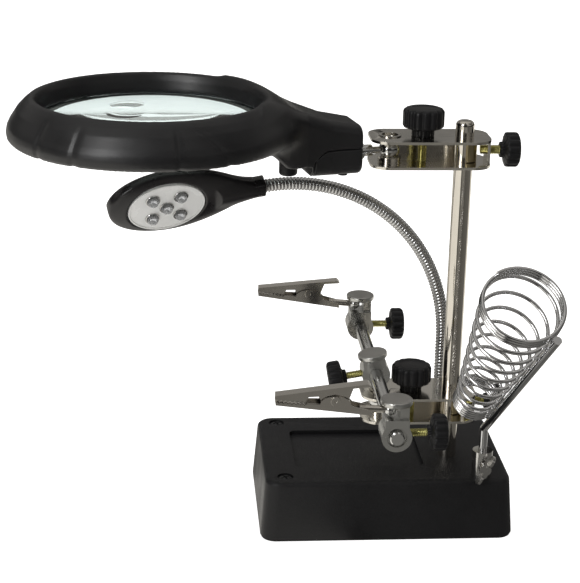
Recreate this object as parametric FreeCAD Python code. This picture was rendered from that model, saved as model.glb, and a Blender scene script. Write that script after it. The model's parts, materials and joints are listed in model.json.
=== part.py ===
import FreeCAD, Part
import math
import os

# Helping hands clamp: a weighted base with a parts tray carries a post. An upper clamp on the
# post holds a magnifier, a lower clamp holds a cross arm with two spring clips, a gooseneck
# rises behind the post to an LED lamp, and a coil beside the post holds a soldering iron.
# Millimetres, +X right, +Y back, +Z up. Origin: middle of the base's underside.

V = FreeCAD.Vector

# ---- fits -------------------------------------------------------------------------------
SLIP = 0.05  # running fit on a radius, or between a face and the face it turns on
GAP = 0.3  # clearance between pieces that move past each other
SEAT = 0.15  # clearance of a piece dropped into its seat

# ---- base -------------------------------------------------------------------------------
BASE_LENGTH = 112.0
BASE_WIDTH = 76.5
BASE_HEIGHT = 26.2
BASE_DRAFT = 2.0  # each side leans in by this much from bottom to top
BASE_CORNER = 7.0
BASE_EDGE = 1.6  # rounding of the top edge
BASE_WALL = 2.5
PAD_THICK = 1.0
PLATE_THICK = 2.0
TRAY_DEPTH = 1.8
TRAY_MARGIN_LEFT = 14.0
TRAY_MARGIN_SIDE = 16.3
TRAY_TO_POST = 12.1
TRAY_CORNER = 3.0
CASE_SCREW_INSET = 8.8
CASE_SCREW_SHANK = 3.0
CASE_SCREW_HEAD = 6.4
CASE_SCREW_HEAD_HEIGHT = 2.2
CASE_SCREW_BITE = 4.0  # length of thread in the plate's post
CASE_BOSS = 7.5
PLATE_BOSS_RISE = 7.8  # how far the plate's screw posts stand above the plate
WEIGHT_CLEAR = 4.0  # from the battery door's opening to the weight

CELL_DIAMETER = 10.5
CELL_LENGTH = 44.5
CELL_COUNT = 3
CELL_GAP = 0.6
DOOR_THICK = 1.6

SWITCH_LENGTH = 13.0
SWITCH_HEIGHT = 6.0
SWITCH_DEPTH = 6.0
SWITCH_TRAVEL = 3.0
SWITCH_BUTTON = 5.0

# ---- post and the nuts under the base's top ---------------------------------------------
POST_DIAMETER = 8.0
POST_HEIGHT = 154.5  # above the base's top
POST_FROM_RIGHT = 26.3
POST_Y = -7.7
STUD_THREAD = 6.0
NUT_FLATS = 10.0
NUT_HEIGHT = 5.0

# ---- post clamps ------------------------------------------------------------------------
CLAMP_HIGH = POST_HEIGHT - 12.7  # middle of the upper bracket above the base's top
CLAMP_LOW = 26.1
BRACKET_REACH = 40.6  # from the post's axis to the bracket's ball end
BRACKET_TAIL = 10.6  # from the post's axis to the turned-down end
BRACKET_WIDTH = 25.0
BRACKET_GAP = 9.6
BRACKET_SHEET = 1.2
BRACKET_WEB_START = 11.5  # free length of the flanges beyond the web
BALL_DIAMETER = 9.2
BALL_INSET = 8.7  # from the ball end to the ball's centre
BALL_HOLE = 7.0
BALL_SEAT = 1.4  # width of the dished rim round each ball hole
KNOB_SHARE = 0.561  # place of the clamp screw between the post and the ball
KNOB_INSET = BRACKET_REACH - (BRACKET_REACH - BALL_INSET) * KNOB_SHARE
SHOE_THICK = 3.0
KNOB_DIAMETER = 17.6
KNOB_HEIGHT = 8.2
KNOB_NECK = 9.6
KNOB_NECK_HEIGHT = 3.6
KNOB_FLUTES = 14
LOCK_KNOB_DIAMETER = 15.0
LOCK_KNOB_THICK = 6.0
LOCK_KNOB_REACH = 6.9  # from the bracket's end to the knob
SCREW_DIAMETER = 4.0

# ---- magnifier --------------------------------------------------------------------------
HEAD_YAW = 12.0  # the magnifier's arm turns towards the front by this angle
HANDLE_LENGTH = 44.8  # from the ball to the ring's outer side
LENS_RADIUS = 45.0
RING_RADIUS = LENS_RADIUS + 12.8
RING_LIP_RADIUS = LENS_RADIUS + 2.2
LENS_REACH = HANDLE_LENGTH + RING_RADIUS  # from the ball to the lens's axis
RING_HEIGHT = 17.5
RING_RISE = 10.0  # the ring's lower face sits this far above the ball's centre
RING_LEDGE = 8.6  # from the ring's top down to the ledge that stops the lens
RING_POCKET = 4.4  # depth of the pocket for the retainer
RETAINER_GRIP = 2.2  # the retainer reaches this far in from the lens's edge
LENS_EDGE = 3.0
LENS_CROWN = 3.2
SPOT_RADIUS = 8.0
SPOT_HEIGHT = 1.4
SPOT_PLACE = (7.0, -10.0)
NECK_START = 15.5
NECK_WIDTH = 24.0
NECK_HEIGHT = 20.6
NECK_RISE = 2.9  # the neck's end sits this far above the ball's centre
NECK_CORNER = 4.5
SHELL_WALL = 2.2
BALL_STUD = 5.0
LATCH_REACH = HANDLE_LENGTH - 0.3
LATCH_DIAMETER = 7.8
LATCH_HEIGHT = 7.0
LATCH_FLOOR = -1.8  # the seat over the latch knob, below the ball's centre

# ---- gooseneck and lamp -----------------------------------------------------------------
NECK_DIAMETER = 5.8
NECK_FROM_POST = 23.7
NECK_TURN = 12.6
NECK_BEND_RADIUS = 77.0
NECK_CROWN_DROP = 17.0  # the bend's highest place passes this far below the upper clamp
NECK_STRAIGHT = CLAMP_HIGH - NECK_CROWN_DROP - NECK_BEND_RADIUS
NECK_PIN = 4.4  # the spigot that turns in the socket
NECK_CUP = 6.0  # height of the socket above the base
NECK_ARCS = 4
NECK_ARC_ANGLE = 24.0
LAMP_LENGTH = 68.8
LAMP_WIDTH = 34.0
LAMP_THICK = 12.0
LAMP_PITCH = -32.0
PLATE_SHIFT = 2.1  # the plate sits this far towards the tip from the widest place
PLATE_SHORT = LAMP_WIDTH - 7.0
PLATE_LONG = PLATE_SHORT + 6.5
LAMP_FACE = 3.4  # the flat face stands this far in front of the neck's axis
LAMP_SLEEVE = 4.4  # radius of the sleeve round the neck's end
LED_DIAMETER = 5.0
LED_PITCH_LONG = 12.0
LED_PITCH_SHORT = 11.0

# ---- cross arm --------------------------------------------------------------------------
ARM_HEIGHT = CLAMP_LOW + 14.7  # axis above the base's top
ARM_DIAMETER = 6.0
ARM_FRONT = 74.0  # from the lower ball to the arm's front end
ARM_BACK = 67.7
ARM_OFFSET = 2.4  # the arm passes this far left of the lower ball
BLOCK_DISC = 13.0
BLOCK_DISC_THICK = 2.4
BLOCK_BODY = 11.0
BLOCK_RISE = 15.0  # disc top above the arm's axis
MIDDLE_RISE = 9.0
LINK_STUD = 3.4
CLIP_BALL = 5.0
BLOCK_SCREW = 3.4
BLOCK_KNOB_REACH = 15.0
CLIP_SEAT_X = -2.6
EYE_RELIEF = 1.1  # the eye is wider than the arm by this near its faces

# ---- clips ------------------------------------------------------------------------------
JAW_FRONT = 24.0  # from the tip to the rivet
JAW_BACK = 15.0  # from the rivet to the end of the trough
JAW_WIDTH = 6.6
JAW_SHEET = 0.8
CLIP_TAIL = 7.4  # from the trough's end to the ball
RIVET_RISE = 5.0  # above the ball
RIVET_DIAMETER = 2.4
TAIL_DIAMETER = 3.0
JAW_TEETH = 7
CLIP_LIFT = 0.5

# ---- soldering iron stand ---------------------------------------------------------------
STAND_FROM_RIGHT = 14.7
STAND_FROM_FRONT = 7.9
SOCKET_DIAMETER = 8.8
SOCKET_HEIGHT = 12.3
STAND_ROD = 3.6
STAND_UPRIGHT = 10.0
COIL_WIRE = 1.6
COIL_CLOSE = 1.08  # pitch of the close turns, in wire diameters
COIL_LIFT = 8.0  # from the rod's bend to the coil's lower end, along the coil
WELD_GAP = 0.02  # the coil's turns stop this short of the rod they are welded to
COIL_LENGTH = 85.0
COIL_SMALL = 8.6
COIL_LARGE = 16.4
COIL_FOOT_TURNS = 4.0
COIL_OPEN_TURNS = 8.5
COIL_RING_TURNS = 3.0
COIL_SPREAD = 1.25  # above 1, the turns open up towards the mouth

# ---- worked-out places ------------------------------------------------------------------
BASE_TOP = PAD_THICK + BASE_HEIGHT
TOP_LENGTH = BASE_LENGTH - 2 * BASE_DRAFT
TOP_WIDTH = BASE_WIDTH - 2 * BASE_DRAFT
POST_X = BASE_LENGTH / 2 - POST_FROM_RIGHT
POST_TOP = BASE_TOP + POST_HEIGHT
UPPER_Z = BASE_TOP + CLAMP_HIGH
LOWER_Z = BASE_TOP + CLAMP_LOW
BALL_X = POST_X - BRACKET_REACH + BALL_INSET
ARM_Z = BASE_TOP + ARM_HEIGHT
ARM_X = BALL_X - ARM_OFFSET
STAND_X = BASE_LENGTH / 2 - STAND_FROM_RIGHT
STAND_Y = -BASE_WIDTH / 2 + STAND_FROM_FRONT
NECK_X = POST_X - 0.7
NECK_Y = POST_Y + NECK_FROM_POST
INNER_CEILING = BASE_TOP - BASE_WALL
TRAY_FLOOR = BASE_TOP - TRAY_DEPTH
PLATE_TOP = PAD_THICK + PLATE_THICK
CELLS_LEFT = -BASE_LENGTH / 2 + BASE_WALL + 4.5
CELLS_WIDTH = CELL_COUNT * CELL_DIAMETER + (CELL_COUNT - 1) * CELL_GAP
DOOR_LEFT = CELLS_LEFT - 2.0
DOOR_RIGHT = CELLS_LEFT + CELL_LENGTH + 2.0
DOOR_HALF = CELLS_WIDTH / 2 + 1.5
WEIGHT_RIGHT = BASE_LENGTH / 2 - BASE_WALL - BASE_DRAFT - 4.0
RIVET_X = -(CLIP_TAIL + JAW_BACK)  # from the clip's ball
TIP_X = RIVET_X - JAW_FRONT
LAMP_MIDDLE = LAMP_LENGTH - LAMP_WIDTH * 0.78  # the head's widest place


# ---- shape helpers ----------------------------------------------------------------------
def box(x0, x1, y0, y1, z0, z1):
    return Part.makeBox(x1 - x0, y1 - y0, z1 - z0, V(x0, y0, z0))


def rod(radius, start, direction, length):
    return Part.makeCylinder(radius, length, V(*start), V(*direction))


def tube(outer, inner, start, direction, length):
    return rod(outer, start, direction, length).cut(rod(inner, start, direction, length))


def ball(radius, centre):
    return Part.makeSphere(radius, V(*centre))


def rounded_wire(length, width, corner, z, middle=(0, 0)):
    """A rectangle with round corners at height z."""
    x, y = length / 2, width / 2
    mx, my = middle
    edges = []
    corners = [(1, 1), (-1, 1), (-1, -1), (1, -1)]
    for number, (sx, sy) in enumerate(corners):
        cx, cy = mx + sx * (x - corner), my + sy * (y - corner)
        start = math.radians(90 * number)
        points = [
            V(cx + corner * math.cos(start + t), cy + corner * math.sin(start + t), z)
            for t in (0, math.pi / 4, math.pi / 2)
        ]
        edges.append(Part.Arc(*points).toShape())
    wire = []
    for number, edge in enumerate(edges):
        wire.append(edge)
        after = edges[(number + 1) % 4]
        wire.append(Part.makeLine(edge.Vertexes[-1].Point, after.Vertexes[0].Point))
    return Part.Wire(wire)


def slab(length, width, corner, z0, z1, middle=(0, 0)):
    """A plate with round corners between two heights."""
    face = Part.Face(rounded_wire(length, width, corner, z0, middle))
    return face.extrude(V(0, 0, z1 - z0))


def turned(profile):
    """A closed (radius, height) outline turned about the Z axis."""
    points = [V(r, 0, z) for r, z in profile]
    wire = Part.makePolygon(points + points[:1])
    return Part.Face(wire).revolve(V(0, 0, 0), V(0, 0, 1), 360)


def moved(shape, at=(0, 0, 0), axis=(0, 0, 1), angle=0.0):
    """A copy turned about an axis through the origin, then carried to a point."""
    copy = shape.copy()
    turn = FreeCAD.Placement(V(*at), FreeCAD.Rotation(V(*axis), angle))
    copy.Placement = turn.multiply(copy.Placement)
    return copy


def aimed(shape, at, direction):
    """A copy whose Z axis points along a direction from a point."""
    copy = shape.copy()
    turn = FreeCAD.Placement(V(*at), FreeCAD.Rotation(V(0, 0, 1), V(*direction)))
    copy.Placement = turn.multiply(copy.Placement)
    return copy


def joined(shapes):
    whole = shapes[0]
    for shape in shapes[1:]:
        whole = whole.fuse(shape)
    return whole.removeSplitter()


def without(shape, cutters):
    for cutter in cutters:
        shape = shape.cut(cutter)
    return shape


def save(node, shape):
    shape.exportStep("parts/" + node + ".step")


# ---- base -------------------------------------------------------------------------------
def drafted(length, width, corner, z0, z1, edge):
    """A block that leans in towards its top and has a rounded top edge."""
    rise = z1 - z0
    steps = [(0.0, 0.0), (rise - edge, 0.0)]
    steps += [
        (rise - edge + edge * math.sin(a), edge - edge * math.cos(a))
        for a in (math.radians(30), math.radians(60), math.radians(90))
    ]
    wires = []
    for height, inset in steps:
        lean = BASE_DRAFT * height / BASE_HEIGHT + inset
        wires.append(
            rounded_wire(length - 2 * lean, width - 2 * lean, corner - inset * 0.8, z0 + height)
        )
    return Part.makeLoft(wires, True, True)


def case_screw_places():
    """Three corners have a screw; the iron stand's stem holds the front right corner."""
    x = TOP_LENGTH / 2 - CASE_SCREW_INSET
    y = TOP_WIDTH / 2 - CASE_SCREW_INSET * 0.8
    return [(-x, -y), (-x, y), (x, y)]


def tray_cut(grow, floor, top):
    x0 = -TOP_LENGTH / 2 + TRAY_MARGIN_LEFT - grow
    x1 = POST_X - TRAY_TO_POST + grow
    width = TOP_WIDTH - 2 * TRAY_MARGIN_SIDE + 2 * grow
    return slab(x1 - x0, width, TRAY_CORNER + grow, floor, top, ((x0 + x1) / 2, 0))


def switch_place():
    """The switch sits in the back wall, left of the middle, with its slot along X."""
    return (-BASE_LENGTH / 4, BASE_WIDTH / 2 - BASE_DRAFT / 2, PAD_THICK + BASE_HEIGHT / 2)


def base_shell():
    outer = drafted(BASE_LENGTH, BASE_WIDTH, BASE_CORNER, PAD_THICK, BASE_TOP, BASE_EDGE)
    inner = drafted(
        BASE_LENGTH - 2 * BASE_WALL,
        BASE_WIDTH - 2 * BASE_WALL,
        BASE_CORNER - BASE_WALL,
        PAD_THICK,
        INNER_CEILING,
        0.4,
    )
    inner = inner.cut(tray_cut(BASE_WALL, TRAY_FLOOR - BASE_WALL, BASE_TOP))
    shell = outer.cut(inner).cut(tray_cut(0, TRAY_FLOOR, BASE_TOP + 1))
    for x, y in case_screw_places():
        foot = PLATE_TOP + PLATE_BOSS_RISE + SEAT
        shell = shell.fuse(rod(CASE_BOSS / 2, (x, y, foot), (0, 0, 1), INNER_CEILING + 0.5 - foot))
        shell = shell.cut(rod(CASE_SCREW_SHANK / 2 + SEAT, (x, y, 0), (0, 0, 1), 40))
        head = CASE_SCREW_HEAD / 2 + GAP
        depth = CASE_SCREW_HEAD_HEIGHT + 0.3
        shell = shell.cut(rod(head, (x, y, BASE_TOP - depth), (0, 0, 1), 10))
    for x, y in ((POST_X, POST_Y), (NECK_X, NECK_Y), (STAND_X, STAND_Y)):
        shell = shell.cut(rod(STUD_THREAD / 2 + SLIP, (x, y, 0), (0, 0, 1), 60))
    x, y, z = switch_place()
    slot = SWITCH_BUTTON + SWITCH_TRAVEL + 2 * GAP
    window = box(x - slot / 2, x + slot / 2, y - 10, y + 10, z - 1.6 - GAP, z + 1.6 + GAP)
    return shell.cut(window)


def plate_outline(clear, z0, z1):
    inset = BASE_WALL + clear
    return slab(
        BASE_LENGTH - 2 * inset - 0.4,
        BASE_WIDTH - 2 * inset - 0.4,
        BASE_CORNER - BASE_WALL,
        z0,
        z1,
    )


def door_opening(grow, z0, z1):
    return box(
        DOOR_LEFT - grow, DOOR_RIGHT + grow, -DOOR_HALF - grow, DOOR_HALF + grow, z0, z1
    )


def base_plate():
    plate = plate_outline(SEAT, PAD_THICK, PLATE_TOP)
    for x, y in case_screw_places():
        plate = plate.fuse(rod(CASE_BOSS / 2, (x, y, PLATE_TOP - 0.5), (0, 0, 1), PLATE_BOSS_RISE + 0.5))
        plate = plate.cut(rod(CASE_SCREW_SHANK / 2, (x, y, PLATE_TOP + 2), (0, 0, 1), 20))
    plate = plate.cut(door_opening(0, 0, PLATE_TOP + 1))
    ledge = door_opening(1.5, PAD_THICK + DOOR_THICK + SEAT, PLATE_TOP)
    lip = ledge.cut(door_opening(-1.2, 0, 20))
    return plate.fuse(lip)


def base_pad():
    pad = slab(BASE_LENGTH - 1, BASE_WIDTH - 1, BASE_CORNER - 0.5, 0, PAD_THICK)
    return pad.cut(door_opening(1.0, -1, 5))


def case_screw():
    """A cross-head screw standing on its tip, head up, with its head's top at height 0."""
    head = rod(CASE_SCREW_HEAD / 2, (0, 0, -CASE_SCREW_HEAD_HEIGHT), (0, 0, 1), 1.4)
    dome = ball(CASE_SCREW_HEAD, (0, 0, -CASE_SCREW_HEAD))
    dome = dome.common(
        rod(CASE_SCREW_HEAD / 2, (0, 0, -CASE_SCREW_HEAD_HEIGHT + 1.4), (0, 0, 1), 5)
    )
    reach = BASE_TOP - PLATE_TOP - PLATE_BOSS_RISE + CASE_SCREW_BITE
    shank = rod(CASE_SCREW_SHANK / 2, (0, 0, -reach), (0, 0, 1), reach - CASE_SCREW_HEAD_HEIGHT)
    screw = joined([head, dome, shank])
    for turn in (0, 90):
        slot = moved(box(-1.9, 1.9, -0.4, 0.4, -1.3, 1), angle=turn + 25)
        screw = screw.cut(slot)
    return screw


def base_screws():
    return Part.Compound([moved(case_screw(), (x, y, BASE_TOP)) for x, y in case_screw_places()])


def base_weight():
    """The iron block fills the right part of the base, with room for the nuts and screws."""
    x0 = DOOR_RIGHT + WEIGHT_CLEAR
    x1 = WEIGHT_RIGHT
    half = BASE_WIDTH / 2 - BASE_WALL - BASE_DRAFT - 0.8
    top = TRAY_FLOOR - BASE_WALL - GAP
    block = box(x0, x1, -half, half, PLATE_TOP, top)
    cutters = [
        rod(CASE_BOSS / 2 + 0.8, (x, y, 0), (0, 0, 1), 40) for x, y in case_screw_places()
    ]
    for x, y in ((POST_X, POST_Y), (NECK_X, NECK_Y), (STAND_X, STAND_Y)):
        cutters.append(rod(NUT_FLATS / 2 + 2.0, (x, y, PLATE_TOP + 5), (0, 0, 1), 40))
    return without(block, cutters)


def cell_places():
    for number in range(CELL_COUNT):
        y = -CELLS_WIDTH / 2 + CELL_DIAMETER / 2 + number * (CELL_DIAMETER + CELL_GAP)
        yield number, y, PLATE_TOP + CELL_DIAMETER / 2 + 0.4


def battery_cells():
    cells = []
    for number, y, z in cell_places():
        way = 1 if number % 2 == 0 else -1
        start = CELLS_LEFT if way > 0 else CELLS_LEFT + CELL_LENGTH
        body = rod(CELL_DIAMETER / 2, (start, y, z), (way, 0, 0), CELL_LENGTH - 1)
        pip = rod(1.9, (start, y, z), (way, 0, 0), CELL_LENGTH)
        cells.append(joined([body, pip]))
    return Part.Compound(cells)


def battery_door():
    gap = 0.25
    door = door_opening(-gap, PAD_THICK, PAD_THICK + DOOR_THICK)
    grips = [
        box(DOOR_LEFT + 5 + 2.0 * n, DOOR_LEFT + 6 + 2.0 * n, -6, 6, 0, PAD_THICK + 0.5)
        for n in range(4)
    ]
    return without(door, grips)


def power_switch():
    """The switch's housing inside the wall, and the button that slides in it."""
    x, y, z = switch_place()
    inner = BASE_WIDTH / 2 - BASE_WALL - BASE_DRAFT * 0.5 - 0.6
    length = SWITCH_LENGTH
    tall = SWITCH_HEIGHT
    housing = box(
        x - length / 2, x + length / 2, inner - SWITCH_DEPTH, inner, z - tall / 2, z + tall / 2
    )
    slot = SWITCH_BUTTON + SWITCH_TRAVEL + 2 * GAP
    well = box(x - slot / 2, x + slot / 2, inner - 2.5, inner + 1, z - 1.9, z + 1.9)
    left = x - slot / 2 + GAP
    slider = box(left, left + SWITCH_BUTTON, inner - 2.2, y + BASE_DRAFT / 2 + 0.8, z - 1.6, z + 1.6)
    ridges = [
        box(left + 0.9 * n + 0.6, left + 0.9 * n + 1.0, y + BASE_DRAFT / 2 + 0.4, y + 9, z - 3, z + 3)
        for n in range(4)
    ]
    return housing.cut(well), without(slider, ridges)


def hex_nut(x, y):
    radius = NUT_FLATS / math.sqrt(3)
    points = [
        V(x + radius * math.cos(math.radians(60 * n)), y + radius * math.sin(math.radians(60 * n)), 0)
        for n in range(6)
    ]
    face = Part.Face(Part.makePolygon(points + points[:1]))
    nut = face.extrude(V(0, 0, NUT_HEIGHT))
    nut.translate(V(0, 0, INNER_CEILING - NUT_HEIGHT))
    return nut.cut(rod(STUD_THREAD / 2, (x, y, 0), (0, 0, 1), 60))


def base_nuts():
    return Part.Compound([hex_nut(x, y) for x, y in ((POST_X, POST_Y), (NECK_X, NECK_Y))])


def threaded_stem(x, y):
    bottom = INNER_CEILING - NUT_HEIGHT - 1.0
    return rod(STUD_THREAD / 2, (x, y, bottom), (0, 0, 1), BASE_TOP - bottom)


def post():
    column = rod(POST_DIAMETER / 2, (POST_X, POST_Y, BASE_TOP), (0, 0, 1), POST_HEIGHT)
    rim = [e for e in column.Edges if abs(e.BoundBox.ZMin - POST_TOP) < 0.01]
    column = column.makeFillet(POST_DIAMETER * 0.28, rim[:1])
    return column.fuse(threaded_stem(POST_X, POST_Y))


# ---- post clamps ------------------------------------------------------------------------
def fluted(diameter, height, flutes, depth):
    """A round knob with grooves down its side, standing on height 0."""
    body = rod(diameter / 2, (0, 0, 0), (0, 0, 1), height)
    rim = [e for e in body.Edges if abs(e.BoundBox.ZMin - height) < 0.01]
    body = body.makeFillet(min(1.2, height / 4), rim[:1])
    radius = diameter / flutes * 0.9
    for n in range(flutes):
        a = 2 * math.pi * n / flutes
        r = diameter / 2 + radius - depth
        groove = rod(radius, (r * math.cos(a), r * math.sin(a), -1), (0, 0, 1), height + 2)
        body = body.cut(groove)
    return body


def bracket(z):
    """A channel with its web at the back, holes for the ball and the post, one end turned down."""
    x0 = POST_X - BRACKET_REACH
    x1 = POST_X + BRACKET_TAIL
    half = BRACKET_WIDTH / 2
    low = z - BRACKET_GAP / 2
    high = z + BRACKET_GAP / 2
    sheet = BRACKET_SHEET
    middle = ((x0 + x1) / 2, POST_Y)
    corner = 8.0
    pieces = []
    for floor in (low - sheet, high):
        pieces.append(slab(x1 - x0, BRACKET_WIDTH, corner, floor, floor + sheet, middle))
    web_back = POST_Y + half
    pieces.append(
        box(
            x0 + BRACKET_WEB_START,
            x1 - corner,
            web_back - sheet,
            web_back,
            low - sheet,
            high + sheet,
        )
    )
    pieces.append(
        box(x1 - sheet, x1, POST_Y - half + corner, POST_Y + half - corner, low, high)
    )
    whole = joined(pieces)
    ball_x = x0 + BALL_INSET
    screw_x = x0 + KNOB_INSET
    rim = rod(BALL_HOLE / 2 + BALL_SEAT, (ball_x, POST_Y, low - sheet - 0.5), (0, 0, 1), 40)
    rim = rim.common(box(x0 - 9, x1, -99, 99, low - sheet - 0.5, high + sheet + 0.5))
    seat = math.sqrt((BALL_DIAMETER / 2 + SLIP) ** 2 - (BALL_HOLE / 2) ** 2) - 0.2
    rim = rim.cut(box(x0 - 9, x1, -99, 99, z - seat, z + seat))
    whole = joined([whole, rim])
    return without(
        whole,
        [
            ball(BALL_DIAMETER / 2 + SLIP, (ball_x, POST_Y, z)),
            rod(BALL_HOLE / 2, (ball_x, POST_Y, z - 20), (0, 0, 1), 40),
            rod(SCREW_DIAMETER / 2 + SLIP, (screw_x, POST_Y, z - 20), (0, 0, 1), 40),
            rod(POST_DIAMETER / 2 + SLIP, (POST_X, POST_Y, z - 20), (0, 0, 1), 40),
            rod(SCREW_DIAMETER / 2 + SLIP, (x1 - 4, POST_Y, z), (1, 0, 0), 10),
        ],
    )


def shoe(z):
    """The block that the lock screw presses against the post, between the flanges."""
    x0 = POST_X
    x1 = POST_X + POST_DIAMETER / 2 + SHOE_THICK
    high = BRACKET_GAP / 2 - GAP
    wide = POST_DIAMETER / 2 + 1.5
    block = rod(wide, (POST_X, POST_Y, z - high), (0, 0, 1), 2 * high)
    block = block.common(box(x0 + 0.5, x1, POST_Y - wide, POST_Y + wide, z - high, z + high))
    return block.cut(rod(POST_DIAMETER / 2 + SLIP, (POST_X, POST_Y, z - 20), (0, 0, 1), 40))


def clamp_knob(z):
    """The big knob on the screw that draws the flanges together, with the screw's end below."""
    seat = z + BRACKET_GAP / 2 + BRACKET_SHEET + SLIP
    x = POST_X - BRACKET_REACH + KNOB_INSET
    head = fluted(KNOB_DIAMETER, KNOB_HEIGHT, KNOB_FLUTES, 0.7)
    head.translate(V(0, 0, KNOB_NECK_HEIGHT))
    neck = rod(KNOB_NECK / 2, (0, 0, 0), (0, 0, 1), KNOB_NECK_HEIGHT)
    whole = joined([head, neck])
    whole.translate(V(x, POST_Y, seat))
    bore = rod(SCREW_DIAMETER / 2, (x, POST_Y, seat), (0, 0, 1), KNOB_NECK_HEIGHT + 3)
    return whole.cut(bore)


def clamp_screw(z):
    """A zinc screw from the knob down through both flanges, with a riveted end under them."""
    seat = z + BRACKET_GAP / 2 + BRACKET_SHEET + SLIP
    foot = z - BRACKET_GAP / 2 - BRACKET_SHEET
    x = POST_X - BRACKET_REACH + KNOB_INSET
    top = seat + KNOB_NECK_HEIGHT + 3
    shank = rod(SCREW_DIAMETER / 2, (x, POST_Y, foot - 2.0), (0, 0, 1), top - foot + 2.0)
    collar = rod(3.2, (x, POST_Y, foot - 2.0), (0, 0, 1), 2.0 - SLIP)
    return joined([shank, collar])


def lock_screw(z):
    """The small knob and its screw, which comes through the turned-down end to the shoe."""
    tip = POST_X + POST_DIAMETER / 2 + SHOE_THICK + SLIP
    knob_start = POST_X + BRACKET_TAIL + LOCK_KNOB_REACH
    shank = rod(SCREW_DIAMETER / 2, (tip, POST_Y, z), (1, 0, 0), knob_start - tip + 2)
    neck = rod(3.4, (knob_start - 2.2, POST_Y, z), (1, 0, 0), 2.2)
    knob = fluted(LOCK_KNOB_DIAMETER, LOCK_KNOB_THICK, KNOB_FLUTES, 0.6)
    knob = aimed(knob, (knob_start, POST_Y, z), (1, 0, 0))
    return joined([shank, neck, knob])


# ---- magnifier --------------------------------------------------------------------------
# Drawn along +X from the ball's centre, then turned to point left and a little forward.
def head_placed(shape):
    turn = 180.0 + HEAD_YAW
    return moved(shape, (BALL_X, POST_Y, UPPER_Z), (0, 0, 1), turn)


def neck_section(x, width, height, z, corner):
    """A rounded upright section across the neck."""
    flat = rounded_wire(height, width, corner, 0)
    upright = flat.copy()
    upright.rotate(V(0, 0, 0), V(0, 1, 0), 90)
    upright.translate(V(x, 0, z))
    return upright


def neck_body(grow):
    """The handle, wide at the ring and narrow at the ball; grow is negative for its hollow."""
    floor = NECK_RISE - NECK_HEIGHT / 2
    top = RING_RISE + RING_HEIGHT
    run = LENS_REACH - RING_RADIUS + 11.5 - NECK_START
    wires = []
    for share, wide, lift, height in (
        (0.0, 0.0, 0.0, NECK_HEIGHT),
        (0.4, 3.5, 0.2, NECK_HEIGHT + (top - floor - NECK_HEIGHT) * 0.22),
        (0.72, 11.0, 0.7, NECK_HEIGHT + (top - floor - NECK_HEIGHT) * 0.56),
        (1.0, 25.0, 3.0, top - floor - 4.6),
    ):
        x = NECK_START + run * share - (grow if share == 0 else 0.0)
        middle = floor + lift + height / 2
        section = neck_section(
            x, NECK_WIDTH + wide + 2 * grow, height + 2 * grow, middle, NECK_CORNER + grow
        )
        wires.append(section)
    return Part.makeLoft(wires, True, False)


def ring_profile():
    """Half of the ring's section: broad foot, bulging side, narrow lip."""
    low = RING_RISE
    top = low + RING_HEIGHT
    return [
        (LENS_RADIUS + 4.0, low),
        (RING_RADIUS - 1.6, low),
        (RING_RADIUS - 0.3, low + 1.6),
        (RING_RADIUS, low + 3.6),
        (RING_RADIUS - 1.4, low + 8.0),
        (RING_RADIUS - 4.4, low + 12.6),
        (RING_LIP_RADIUS + 1.4, top - 1.0),
        (RING_LIP_RADIUS, top),
        (RING_LIP_RADIUS - 1.2, top - 0.6),
        (LENS_RADIUS - 1.0, top - 7.0),
        (LENS_RADIUS - 1.0, top - RING_LEDGE),
        (LENS_RADIUS + SEAT, top - RING_LEDGE),
        (LENS_RADIUS + SEAT, low + RING_POCKET),
        (LENS_RADIUS + 4.0, low + RING_POCKET),
    ]


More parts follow.
